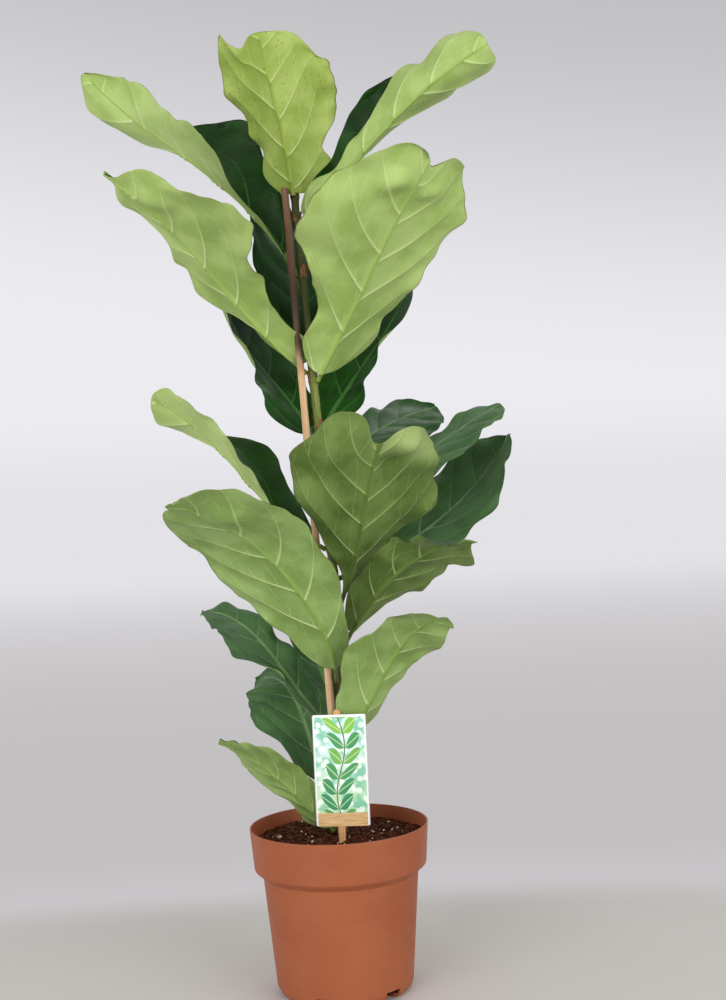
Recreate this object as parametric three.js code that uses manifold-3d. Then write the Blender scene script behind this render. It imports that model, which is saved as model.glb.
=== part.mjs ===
// A fiddle leaf fig in a terracotta-coloured nursery pot, with its cane and its plant label.
// Millimetres, +Z up, +X to the right and -Y towards the viewer. The origin is the centre of the
// pot's flat underside. Each leaf is one solid, petiole and blade together.

import * as THREE from 'three';
import { mergeVertices } from 'three/addons/utils/BufferGeometryUtils.js';
import Module from 'manifold-3d';

const wasm = await Module();
wasm.setup();

// ---- driving dimensions -------------------------------------------------------------------

const GAP = 0.3; // left between two pieces that touch

const POT = {
  height: 174,
  rimRadius: 95, // outer radius at the lip
  collarDepth: 43, // height of the wide band under the lip
  collarFootRadius: 91.5,
  stepDepth: 7.5, // slanted step from the collar in to the body
  bodyTopRadius: 82.7,
  bodyFootRadius: 73,
  footRadius: 65, // flat underside
  footHeight: 12, // rounded foot between the underside and the body
  footBends: 4,
  innerFootRadius: 69, // where the inside of the wall meets the floor
  wall: 1.8,
  floor: 3,
  groove: { inner: 26, outer: 52, depth: 1.6, slope: 2 }, // ring pressed into the underside
  sides: 48,
};
// Notches in the bottom edge, from inner to outer radius and as high as stated.
const DRAIN = { count: 6, firstAzimuth: -46, width: 20, height: 11, inner: 58, outer: 78 };

const SOIL = {
  topAtWall: 158,
  mound: 2, // the middle stands this much higher than the edge
  facetRoom: 0.5, // extra room, because the flats of the pot's facets lie inside its circle
  sides: 36,
};

const STEM = {
  // centre line of the stem, from inside the root ball to the growing tip
  path: [[4, 10, 115], [3, 9, 160], [1, 9, 230], [2, 9, 302], [7, 8, 375], [4, 8, 490],
    [-4, 7, 615], [-12, 7, 750], [-17, 7, 848]],
  footRadius: 5.5,
  topRadius: 4,
  budLength: 16, // pointed sheath of the next leaf on top
  sides: 10,
  rings: 34,
  buriedRings: 6, // the lowest of them stand in the soil
};

const CANE = { foot: [10, -4, 14], top: [-27, -4, 852], radius: 3.9, sides: 12 };

const LABEL = {
  place: [5.5, -27, 0],
  yaw: -6, // degrees, the right edge nearer the viewer
  card: { width: 57, thickness: 0.8, height: 117, middle: 235, cornerRadius: 2 },
  stick: { width: 7.5, thickness: 2, top: 299, foot: 102, taper: 14, offset: -2 },
};

const LEAF = {
  petioleRadius: 2.4,
  thickness: 1.0,
  ribDepth: 1.6, // how far the midrib stands out of the underside near the petiole
  ear: 12, // how far the lobes at the foot of the blade reach back past the petiole
  earShare: 0.15, // share of the blade's length that bends back to make them
  footWidth: 2, // half width where the blade starts
  tipPower: 12, // the higher, the blunter the tip
  stations: [0, 0.06, 0.25, 0.45, 0.68, 0.9, 1], // shares of the blade's length
  rows: [0.03, 0.07, 0.13, 0.21, 0.3, 0.4, 0.5, 0.6, 0.7, 0.79, 0.87, 0.93, 0.97, 0.992],
  across: [0.68, 0.36, 0, -0.36, -0.68], // places over the width, right to left
  petioleRings: 3,
  lineSteps: 200, // steps along the centre line
};

// One record for each leaf, from the lowest up. node is the height of its joint on the stem.
// heading (degrees round from +X), rise (degrees above level), twist and fold (degrees) are each
// given at the petiole, in the middle and at the tip. curl is how far the left and right halves
// turn up. left and right are half widths at five stations, seen from the stem outwards.
const leaves = [
  { name: 'leaf_01_low_left', node: 164, petiole: 10, length: 145,
    heading: [-170, -165, -170], rise: [45, 55, 25], twist: [35, 50, 15], fold: [5, 10, 0],
    curl: [5, 5], left: [15, 25, 30, 35, 35], right: [25, 20, 30, 45, 30] },
  { name: 'leaf_02_low_back', node: 202, petiole: 20, length: 180,
    heading: [145, 90, 145], rise: [50, 85, -25], twist: [-5, -15, -25], fold: [10, 5, -5],
    curl: [5, 10], left: [20, 35, 55, 50, 40], right: [20, 20, 35, 45, 35] },
  { name: 'leaf_03_left', node: 274, petiole: 15, length: 205,
    heading: [155, 135, 145], rise: [40, 70, -5], twist: [5, -20, -20], fold: [15, 10, 5],
    curl: [10, -5], left: [20, 15, 45, 45, 25], right: [20, 25, 25, 25, 25] },
  { name: 'leaf_04_right_front', node: 258, petiole: 15, length: 225,
    heading: [-30, -60, -55], rise: [45, 75, -10], twist: [-20, -30, -25], fold: [15, 0, -15],
    curl: [0, 0], left: [15, 20, 25, 35, 20], right: [20, 40, 50, 35, 40] },
  { name: 'leaf_05_back', node: 302, petiole: 20, length: 150,
    heading: [115, 110, 100], rise: [50, 35, 20], twist: [0, 10, 20], fold: [10, 5, 0],
    curl: [10, 5], left: [20, 20, 30, 40, 30], right: [20, 20, 30, 40, 30] },
  { name: 'leaf_06_left_front', node: 324, petiole: 25, length: 300,
    heading: [-85, -155, -135], rise: [45, 60, 10], twist: [15, 25, 10], fold: [5, 0, 0],
    curl: [10, 5], left: [15, 30, 50, 65, 70], right: [20, 45, 70, 75, 50] },
  { name: 'leaf_07_right_wavy', node: 358, petiole: 25, length: 215,
    heading: [-30, -55, -50], rise: [60, 30, 0], twist: [-35, -50, 5], fold: [30, 15, -15],
    curl: [10, 10], left: [10, 35, 50, 50, 25], right: [15, 30, 30, 40, 40] },
  { name: 'leaf_08_front', node: 404, petiole: 20, length: 235,
    heading: [-55, -90, -70], rise: [55, 50, 30], twist: [10, 0, -10], fold: [0, 0, 25],
    curl: [10, 5], left: [30, 45, 80, 75, 65], right: [5, 30, 60, 80, 70] },
  { name: 'leaf_09_right_back', node: 434, petiole: 30, length: 245,
    heading: [20, 35, 30], rise: [20, 25, 55], twist: [20, 20, -10], fold: [0, -10, 25],
    curl: [15, -5], left: [25, 30, 50, 60, 55], right: [25, 45, 65, 60, 50] },
  { name: 'leaf_10_right_pointed', node: 468, petiole: 30, length: 235,
    heading: [35, 30, 15], rise: [45, 35, 25], twist: [5, 5, 10], fold: [10, -15, 0],
    curl: [5, 0], left: [20, 25, 40, 40, 35], right: [20, 40, 55, 55, 40] },
  { name: 'leaf_11_left_trough', node: 466, petiole: 20, length: 230,
    heading: [-185, -180, -180], rise: [30, 75, 25], twist: [-10, -10, 60], fold: [30, 10, -25],
    curl: [0, 80], left: [20, 25, 45, 50, 40], right: [15, 35, 65, 70, 60] },
  { name: 'leaf_12_back_right', node: 530, petiole: 30, length: 210,
    heading: [80, 40, 40], rise: [35, 25, 10], twist: [0, 10, 25], fold: [10, -5, -10],
    curl: [10, 0], left: [20, 25, 45, 45, 50], right: [25, 30, 45, 50, 40] },
  { name: 'leaf_13_left_dark', node: 584, petiole: 10, length: 230,
    heading: [135, 150, 150], rise: [55, 30, 80], twist: [-15, 5, 10], fold: [5, 20, 20],
    curl: [10, 15], left: [40, 45, 35, 60, 50], right: [25, 30, 55, 65, 50] },
  { name: 'leaf_14_right_dark', node: 596, petiole: 10, length: 235,
    heading: [45, 35, 25], rise: [50, 40, 70], twist: [20, 10, -10], fold: [5, 20, 15],
    curl: [15, 5], left: [25, 35, 45, 60, 45], right: [30, 25, 15, 55, 40] },
  { name: 'leaf_15_right_large', node: 646, petiole: 10, length: 285,
    heading: [-45, -70, -55], rise: [50, 35, 35], twist: [-15, 10, -5], fold: [25, -15, 15],
    curl: [5, 10], left: [40, 55, 65, 80, 75], right: [25, 35, 65, 100, 75] },
  { name: 'leaf_16_left_front', node: 655, petiole: 20, length: 270,
    heading: [-180, -105, -150], rise: [45, 45, 30], twist: [45, -25, 5], fold: [45, -25, 15],
    curl: [0, 15], left: [15, 35, 60, 105, 70], right: [20, 40, 50, 30, 60] },
  { name: 'leaf_17_back', node: 676, petiole: 15, length: 220,
    heading: [90, 130, 135], rise: [70, 50, 70], twist: [-5, -5, 30], fold: [10, 0, 5],
    curl: [5, 5], left: [35, 50, 55, 55, 40], right: [30, 35, 35, 40, 45] },
  { name: 'leaf_18_top_left', node: 758, petiole: 30, length: 285,
    heading: [-180, -185, -180], rise: [70, 20, 50], twist: [-30, -15, 80], fold: [25, 20, -20],
    curl: [0, 105], left: [20, 20, 70, 45, 40], right: [20, 55, 100, 95, 60] },
  { name: 'leaf_19_top_right', node: 816, petiole: 10, length: 270,
    heading: [-40, -50, -25], rise: [30, 35, 20], twist: [-5, -30, -80], fold: [30, 70, 0],
    curl: [115, 65], left: [25, 40, 90, 85, 55], right: [20, 15, 40, 60, 50] },
  { name: 'leaf_20_top_front', node: 845, petiole: 5, length: 165,
    heading: [-100, -120, -105], rise: [75, 50, 65], twist: [0, -5, 5], fold: [10, 10, 0],
    curl: [10, 10], left: [35, 40, 60, 70, 70], right: [25, 35, 45, 55, 55] },
];

// ---- small helpers ------------------------------------------------------------------------

const radians = THREE.MathUtils.degToRad;
const lerp = THREE.MathUtils.lerp;
const clamp = THREE.MathUtils.clamp;
const vector = (point) => new THREE.Vector3(...point);

// A value given at the start, in the middle and at the end, as a smooth bend between them.
const bend = ([start, middle, end], t) =>
  (1 - t) ** 2 * start + 2 * t * (1 - t) * middle + t * t * end;

const material = (color, roughness) =>
  new THREE.MeshStandardMaterial({ color, roughness, metalness: 0 });

function mesh(name, geometry, surface) {
  const piece = new THREE.Mesh(geometry, surface);
  piece.name = name;
  return piece;
}

// A closed skin over rings of points, with one more point closing each end. The rings turn
// anticlockwise seen from the far end. The two halves of a ring are split along opposite
// diagonals, so that the two sides of a thin blade bend along the same creases.
function skin(rings, first, last) {
  const count = rings[0].length;
  const points = [first, ...rings.flat(), last];
  const index = [];
  const at = (ring, k) => 1 + ring * count + (k % count);
  for (let k = 0; k < count; k += 1) {
    index.push(0, at(0, k + 1), at(0, k));
    index.push(points.length - 1, at(rings.length - 1, k), at(rings.length - 1, k + 1));
    for (let ring = 0; ring < rings.length - 1; ring += 1) {
      const near = [at(ring, k), at(ring, k + 1)];
      const far = [at(ring + 1, k), at(ring + 1, k + 1)];
      if (k < count / 2) index.push(near[0], near[1], far[1], near[0], far[1], far[0]);
      else index.push(near[0], near[1], far[0], near[1], far[1], far[0]);
    }
  }
  const geometry = new THREE.BufferGeometry().setFromPoints(points);
  geometry.setIndex(index);
  geometry.computeVertexNormals();
  return geometry;
}

// A closed geometry as a solid that can be cut, and such a solid as a geometry again.
function solid(geometry) {
  const bare = new THREE.BufferGeometry();
  bare.setAttribute('position', geometry.getAttribute('position').clone());
  if (geometry.index) bare.setIndex(geometry.index.clone());
  const merged = mergeVertices(bare, 1e-4);
  const index = Array.from(merged.index.array);
  const kept = [];
  for (let i = 0; i < index.length; i += 3) {
    const [a, b, c] = index.slice(i, i + 3);
    if (a !== b && b !== c && c !== a) kept.push(a, b, c);
  }
  return new wasm.Manifold(new wasm.Mesh({
    numProp: 3,
    vertProperties: new Float32Array(merged.getAttribute('position').array),
    triVerts: new Uint32Array(kept),
  }));
}

function geometryOf(body) {
  const { vertProperties, triVerts } = body.getMesh();
  const geometry = new THREE.BufferGeometry();
  geometry.setAttribute('position', new THREE.BufferAttribute(new Float32Array(vertProperties), 3));
  geometry.setIndex(new THREE.BufferAttribute(new Uint32Array(triVerts), 1));
  geometry.computeVertexNormals();
  return geometry;
}

// A profile of [radius, height] pairs turned round the Z axis.
function turned(profile, sides) {
  const points = profile.map(([radius, height]) => new THREE.Vector2(radius, height));
  return new THREE.LatheGeometry(points, sides).rotateX(Math.PI / 2);
}

// ---- pot ------------------------------------------------------------------------------------

const collarFoot = POT.height - POT.collarDepth;
const bodyTop = collarFoot - POT.stepDepth;

function potGeometry() {
  const { inner, outer, depth, slope } = POT.groove;
  // a quarter of an ellipse from the underside out and up to the body
  const foot = Array.from({ length: POT.footBends + 1 }, (_, k) => {
    const turn = (Math.PI / 2) * (k / POT.footBends);
    const out = (POT.bodyFootRadius - POT.footRadius) * Math.sin(turn);
    return [POT.footRadius + out, POT.footHeight * (1 - Math.cos(turn))];
  });
  const profile = [
    [0, 0], [inner, 0], [inner + slope, depth], [outer - slope, depth], [outer, 0],
    ...foot, [POT.bodyTopRadius, bodyTop], [POT.collarFootRadius, collarFoot],
    [POT.rimRadius, POT.height], [POT.rimRadius - POT.wall, POT.height],
    [POT.collarFootRadius - POT.wall, collarFoot + 1], [POT.bodyTopRadius - POT.wall, bodyTop],
    [POT.bodyFootRadius - POT.wall, POT.footHeight],
    [POT.innerFootRadius, POT.floor + depth], [0, POT.floor + depth],
  ];
  let pot = solid(turned(profile, POT.sides));
  for (let i = 0; i < DRAIN.count; i += 1) {
    const azimuth = radians(DRAIN.firstAzimuth + (360 / DRAIN.count) * i);
    // half of the box is under the pot, so that the notch is open below
    const notch = new THREE.BoxGeometry(DRAIN.outer - DRAIN.inner, DRAIN.width, 2 * DRAIN.height);
    notch.translate((DRAIN.inner + DRAIN.outer) / 2, 0, 0).rotateZ(azimuth);
    pot = pot.subtract(solid(notch));
  }
  return geometryOf(pot);
}

// ---- stem and cane --------------------------------------------------------------------------

const stemCurve = new THREE.CatmullRomCurve3(STEM.path.map(vector));
const stemRadius = (t) => lerp(STEM.footRadius, STEM.topRadius, t);

// Circles square to the curve, each `swell` wider than the stem.
function stemRings(swell, from, to, count) {
  const rings = [];
  for (let i = 0; i < count; i += 1) {
    const t = lerp(from, to, i / (count - 1));
    const centre = stemCurve.getPointAt(t);
    const along = stemCurve.getTangentAt(t);
    const across = new THREE.Vector3(1, 0, 0).addScaledVector(along, -along.x).normalize();
    const away = along.clone().cross(across);
    rings.push(Array.from({ length: STEM.sides }, (_, k) => {
      const angle = (2 * Math.PI * k) / STEM.sides;
      return centre.clone()
        .addScaledVector(across, (stemRadius(t) + swell) * Math.cos(angle))
        .addScaledVector(away, (stemRadius(t) + swell) * Math.sin(angle));
    }));
  }
  return rings;
}

function stemGeometry() {
  const bud = stemCurve.getPointAt(1).addScaledVector(stemCurve.getTangentAt(1), STEM.budLength);
  return skin(stemRings(0, 0, 1, STEM.rings), stemCurve.getPointAt(0), bud);
}

// The stem's centre and radius at a height, found by halving along the curve.
function stemAt(height) {
  let low = 0;
  let high = 1;
  while (high - low > 1e-5) {
    const middle = (low + high) / 2;
    if (stemCurve.getPointAt(middle).z < height) low = middle;
    else high = middle;
  }
  return { centre: stemCurve.getPointAt(low), radius: stemRadius(low) };
}

// A straight round rod from foot to top, as a geometry in place.
function rod(foot, top, radius, sides) {
  const along = top.clone().sub(foot);
  const turn = new THREE.Quaternion().setFromUnitVectors(
    new THREE.Vector3(0, 1, 0), along.clone().normalize(),
  );
  return new THREE.CylinderGeometry(radius, radius, along.length(), sides)
    .applyQuaternion(turn)
    .translate(...foot.clone().add(top).multiplyScalar(0.5));
}

const caneGeometry = (swell) =>
  rod(vector(CANE.foot), vector(CANE.top), CANE.radius + swell, CANE.sides);

// ---- label ------------------------------------------------------------------------------------

// Both pieces stand upright in the label's own frame, with the card's middle plane at Y = 0.
function cardGeometry() {
  const { width, thickness, height, middle, cornerRadius: r } = LABEL.card;
  const outline = new THREE.Shape();
  outline.moveTo(-width / 2 + r, -height / 2);
  outline.lineTo(width / 2 - r, -height / 2);
  outline.absarc(width / 2 - r, -height / 2 + r, r, -Math.PI / 2, 0);
  outline.absarc(width / 2 - r, height / 2 - r, r, 0, Math.PI / 2);
  outline.absarc(-width / 2 + r, height / 2 - r, r, Math.PI / 2, Math.PI);
  outline.absarc(-width / 2 + r, -height / 2 + r, r, Math.PI, 1.5 * Math.PI);
  const card = new THREE.ExtrudeGeometry(outline, {
    depth: thickness, bevelEnabled: false, curveSegments: 3,
  });
  return card.translate(0, 0, -thickness / 2).rotateX(Math.PI / 2).translate(0, 0, middle);
}

// The stick stands behind the card, rounded on top and pointed at its foot; swell widens it all
// round.
function stickGeometry(swell) {
  const { width, thickness, top, foot, taper, offset } = LABEL.stick;
  const half = width / 2 + swell;
  const outline = new THREE.Shape();
  outline.moveTo(0, foot - swell);
  outline.lineTo(half, foot + taper);
  outline.lineTo(half, top - half);
  outline.absarc(0, top - half, half, 0, Math.PI);
  outline.lineTo(-half, foot + taper);
  const depth = thickness + 2 * swell;
  const stick = new THREE.ExtrudeGeometry(outline, { depth, bevelEnabled: false, curveSegments: 8 });
  const behind = (LABEL.card.thickness + thickness) / 2 + GAP;
  return stick.translate(0, 0, -depth / 2).rotateX(Math.PI / 2).translate(offset, behind, 0);
}

// ---- soil -------------------------------------------------------------------------------------

function soilGeometry() {
  const inset = POT.wall + GAP;
  const bottom = POT.floor + POT.groove.depth + GAP;
  const collarShare = (SOIL.topAtWall - collarFoot) / POT.collarDepth;
  const topRadius = lerp(POT.collarFootRadius, POT.rimRadius, collarShare);
  const room = inset + SOIL.facetRoom;
  const profile = [
    [0, bottom], [POT.innerFootRadius - room - 1, bottom],
    [POT.bodyFootRadius - room - 0.5, POT.footHeight + 1],
    [POT.bodyTopRadius - room, bodyTop], [POT.collarFootRadius - room, collarFoot + 2],
    [topRadius - room, SOIL.topAtWall], [topRadius * 0.6, SOIL.topAtWall + SOIL.mound * 0.7],
    [0, SOIL.topAtWall + SOIL.mound],
  ];
  const stick = stickGeometry(GAP).rotateZ(radians(LABEL.yaw)).translate(...LABEL.place);
  const buried = (STEM.buriedRings - 1) / (STEM.rings - 1);
  const stemHole = skin(
    stemRings(GAP, 0, buried, STEM.buriedRings),
    stemCurve.getPointAt(0).add(new THREE.Vector3(0, 0, -GAP)),
    stemCurve.getPointAt(buried),
  );
  return geometryOf(
    solid(turned(profile, SOIL.sides))
      .subtract(solid(stemHole))
      .subtract(solid(caneGeometry(GAP)))
      .subtract(solid(stick)),
  );
}

// ---- leaves -----------------------------------------------------------------------------------

// Half width at a share u of the blade's length: a smooth line through the five given widths,
// rounded off at the tip.
function halfWidth(widths, u) {
  const values = [LEAF.footWidth, ...widths, widths[4]];
  const at = LEAF.stations;
  const slope = (i) => {
    if (i === 0) return (values[1] - values[0]) / (at[1] - at[0]);
    if (i === at.length - 1) return 0;
    const before = (values[i] - values[i - 1]) / (at[i] - at[i - 1]);
    const after = (values[i + 1] - values[i]) / (at[i + 1] - at[i]);
    const share = (at[i] - at[i - 1]) / (at[i + 1] - at[i - 1]);
    return lerp(before, after, share);
  };
  const i = Math.min(at.findLastIndex((station) => station <= u), at.length - 2);
  const h = at[i + 1] - at[i];
  const s = (u - at[i]) / h;
  const smooth = (2 * s ** 3 - 3 * s ** 2 + 1) * values[i] + (s ** 3 - 2 * s ** 2 + s) * h * slope(i)
    + (3 * s ** 2 - 2 * s ** 3) * values[i + 1] + (s ** 3 - s ** 2) * h * slope(i + 1);
  return Math.max(smooth, LEAF.footWidth) * Math.sqrt(1 - u ** LEAF.tipPower);
}

// The leaf's centre line, with the directions along it, to its right and out of its upper side,
// at even steps from the stem to the tip.
function centreLine(leaf) {
  const total = leaf.petiole + leaf.length;
  const { centre, radius } = stemAt(leaf.node);
  const heading = radians(leaf.heading[0]);
  const reach = radius + GAP + LEAF.petioleRadius * Math.sin(radians(leaf.rise[0]));
  const outward = new THREE.Vector3(Math.cos(heading), Math.sin(heading), 0);
  const point = centre.addScaledVector(outward, reach);
  const line = [];
  let before = null;
  for (let i = 0; i <= LEAF.lineSteps; i += 1) {
    const t = i / LEAF.lineSteps;
    const a = radians(bend(leaf.heading, t));
    const e = radians(bend(leaf.rise, t));
    const w = radians(bend(leaf.twist, t));
    const along = new THREE.Vector3(Math.cos(e) * Math.cos(a), Math.cos(e) * Math.sin(a), Math.sin(e));
    const level = new THREE.Vector3(Math.sin(a), -Math.cos(a), 0);
    const up = level.clone().cross(along);
    const right = level.clone().multiplyScalar(Math.cos(w)).addScaledVector(up, -Math.sin(w));
    const upper = up.clone().multiplyScalar(Math.cos(w)).addScaledVector(level, Math.sin(w));
    if (before) point.addScaledVector(before.clone().add(along), total / LEAF.lineSteps / 2);
    before = along;
    line.push({ t, point: point.clone(), along, right, upper });
  }
  return line;
}

// A point of the blade at place v across its width (-1 the left margin, 1 the right one), offset
// by `lift` out of the upper side. Each half is an arc that starts at the fold and turns by the curl.
function bladePoint(leaf, frame, u, v, lift) {
  const side = v < 0 ? -1 : 1;
  const width = halfWidth(side < 0 ? leaf.left : leaf.right, u);
  const fold = radians(bend(leaf.fold, frame.t));
  const curl = radians(side < 0 ? leaf.curl[0] : leaf.curl[1]) || 1e-3;
  const angle = fold + curl * Math.abs(v);
  const out = ((Math.sin(angle) - Math.sin(fold)) / curl) * width;
  const up = ((Math.cos(fold) - Math.cos(angle)) / curl) * width;
  const back = LEAF.ear * clamp(1 - u / LEAF.earShare, 0, 1) ** 2 * v * v;
  const lean = v === 0 ? 0 : angle;
  return frame.point.clone()
    .addScaledVector(frame.right, side * (out - lift * Math.sin(lean)))
    .addScaledVector(frame.upper, up + lift * Math.cos(lean))
    .addScaledVector(frame.along, -back);
}

function leafGeometry(leaf) {
  const line = centreLine(leaf);
  const total = leaf.petiole + leaf.length;
  const frameAt = (distance) => line[Math.round((distance / total) * LEAF.lineSteps)];
  const sides = 2 * LEAF.across.length + 2;
  const rings = [];
  for (let i = 0; i < LEAF.petioleRings; i += 1) {
    const { point, right, upper } = frameAt((leaf.petiole * i) / (LEAF.petioleRings - 1));
    rings.push(Array.from({ length: sides }, (_, k) => {
      const angle = (-2 * Math.PI * k) / sides;
      return point.clone()
        .addScaledVector(right, LEAF.petioleRadius * Math.cos(angle))
        .addScaledVector(upper, LEAF.petioleRadius * Math.sin(angle));
    }));
  }
  for (const u of LEAF.rows) {
    const frame = frameAt(leaf.petiole + u * leaf.length);
    const rib = LEAF.ribDepth * (1 - u);
    const under = LEAF.across.map((v) =>
      bladePoint(leaf, frame, u, v, -LEAF.thickness / 2 - (v === 0 ? rib : 0)));
    const over = LEAF.across.map((v) => bladePoint(leaf, frame, u, v, LEAF.thickness / 2)).reverse();
    rings.push([
      bladePoint(leaf, frame, u, 1, 0), ...under, bladePoint(leaf, frame, u, -1, 0), ...over,
    ]);
  }
  return skin(rings, line[0].point, line.at(-1).point);
}

// ---- the whole plant --------------------------------------------------------------------------

const plant = new THREE.Group();

plant.add(mesh('pot', potGeometry(), material(0xb0623f, 0.55)));
plant.add(mesh('soil', soilGeometry(), material(0x4a2e22, 0.95)));
plant.add(mesh('stem', stemGeometry(), material(0x5f5a35, 0.8)));
plant.add(mesh('cane', caneGeometry(0), material(0xe6c59a, 0.65)));

const label = new THREE.Group();
label.position.set(...LABEL.place);
label.rotation.z = radians(LABEL.yaw);
label.add(mesh('label_card', cardGeometry(), material(0xdfeee0, 0.35)));
label.add(mesh('label_stick', stickGeometry(0), material(0xc9a06c, 0.7)));
plant.add(label);

const foliage = new THREE.Group();
const blade = material(0x4f7a38, 0.45);
for (const leaf of leaves) {
  foliage.add(mesh(leaf.name, leafGeometry(leaf), blade.clone()));
}
plant.add(foliage);

export default plant;
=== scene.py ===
"""A fiddle leaf fig in a terracotta-coloured nursery pot: the looks around its frame.

Metres, +Z up, +X to the right and -Y towards the viewer. Shapes are worked out in millimetres and
put into their meshes in metres. A leaf is a sheet with a midrib, side veins, bulges between the
veins and a wavy margin, carried along a bent centre line.
"""
import functools
import math

import bpy
import numpy as np
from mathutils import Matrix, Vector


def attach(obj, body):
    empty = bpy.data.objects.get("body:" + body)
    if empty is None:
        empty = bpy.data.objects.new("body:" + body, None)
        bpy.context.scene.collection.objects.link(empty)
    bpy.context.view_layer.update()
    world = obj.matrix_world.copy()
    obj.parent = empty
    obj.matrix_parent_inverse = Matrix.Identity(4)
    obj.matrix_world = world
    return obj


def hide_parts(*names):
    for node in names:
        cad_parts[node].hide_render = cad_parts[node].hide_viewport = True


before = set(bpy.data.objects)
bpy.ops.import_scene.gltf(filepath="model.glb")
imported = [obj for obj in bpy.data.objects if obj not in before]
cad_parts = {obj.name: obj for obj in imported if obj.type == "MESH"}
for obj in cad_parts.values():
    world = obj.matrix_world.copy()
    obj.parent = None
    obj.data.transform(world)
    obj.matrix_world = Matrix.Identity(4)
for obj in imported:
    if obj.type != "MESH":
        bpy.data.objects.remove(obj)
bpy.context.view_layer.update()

MM = 0.001

# ---- driving dimensions, in millimetres ---------------------------------------------------------

GAP = 0.3
POT = dict(
    height=174, rim=95, collar=43, collar_foot=91.5, step=7.5, body_top=82.7, body_foot=73,
    foot=65, foot_height=12, inner_foot=69, wall=1.8, floor=3, groove=(26, 52, 1.6), slope=2,
)
DRAIN = dict(count=6, first=-46, width=20, height=11, inner=58)
SOIL = dict(at_wall=158, mound=2)
STEM = dict(
    path=((4, 10, 115), (3, 9, 160), (1, 9, 230), (2, 9, 302), (7, 8, 375), (4, 8, 490),
          (-4, 7, 615), (-12, 7, 750), (-17, 7, 848)),
    foot_radius=5.5, top_radius=4.0, bud=16,
)
CANE = dict(foot=(10, -4, 14), top=(-27, -4, 852), radius=3.9)
LABEL = dict(place=(5.5, -27), yaw=-6, width=57, height=117, thickness=0.8, middle=235, corner=2.0)
STICK = dict(width=7.5, thickness=2, top=299, foot=102, taper=14, offset=-2)

PETIOLE = 2.4  # radius of a leaf's stalk
THICKNESS = 0.9  # of the blade between its veins
EAR_SHARE = 0.15  # of a blade's length, over which the lobes at its foot reach back past its stalk
FOOT_WIDTH = 2  # half width where a blade starts
TIP_POWER = 12  # the higher, the blunter the tip
STATIONS = np.array([0, 0.06, 0.25, 0.45, 0.68, 0.9, 1])  # shares of the length of a blade
LINE_STEPS = 400  # along a leaf's centre line
MESH_STEP = 1.35  # between the points of a leaf
CROWDING = 1.3  # the higher, the closer a ring's points lie near its middle

# How far side veins slant and hook forwards, how much nearer they are than along the midrib, how
# deep and wide the sheet sinks along a vein, and how high and wide the ribs stand below it.
VEIN = dict(
    slant=0.8, hook=0.45, nearer=0.65, sink=0.8, sink_width=4.0, midrib=2.2, rib=0.8, rib_width=1.1,
)
VEIN_SPACING = 31  # across a side vein to the next one, on a leaf of middling size
RUNG_SPACING = 17  # from one cross vein to the next
NET_CELL = 5  # between the finest veins


def leaf(name, node, petiole, length, heading, rise, twist, fold, curl, left, right, **looks):
    """One leaf. node is the height of its joint on the stem; heading, rise, twist and fold are
    degrees at the stalk, in the middle and at the tip; curl is how far the left and right halves
    turn up; left and right are half widths at five stations. The looks are: under and upper, the
    finishes; pairs, how many side veins leave each side of the midrib; wave, the height of the
    wavy margin; ripple, the share by which the outline goes in and out; ears, how far the left and
    right lobes at the foot reach back; tip, places across the tip, with spread and reach, where
    the outline stands forward or back; lobes, places along a margin (-1 the left one, 1 the right
    one), with spread and reach, where it stands out or in; dents, hollows of the upper side, and
    tints, paler (above 0) or browner spots, each with its share of the length, place across,
    spread and depth."""
    # a paler tint is either a paler patch of the leaf's own colour or painted light on a sunlit
    # crest, as on leaf_08
    shape = dict(
        name=name, node=node, petiole=petiole, length=length, heading=heading, rise=rise,
        twist=twist, fold=fold, curl=curl, left=left, right=right, under="grown", upper="grown",
        pairs=5, wave=3.0, ripple=0.035, ears=(12, 12), tip=(), lobes=(), dents=(), tints=(),
    )
    return shape | looks


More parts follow.
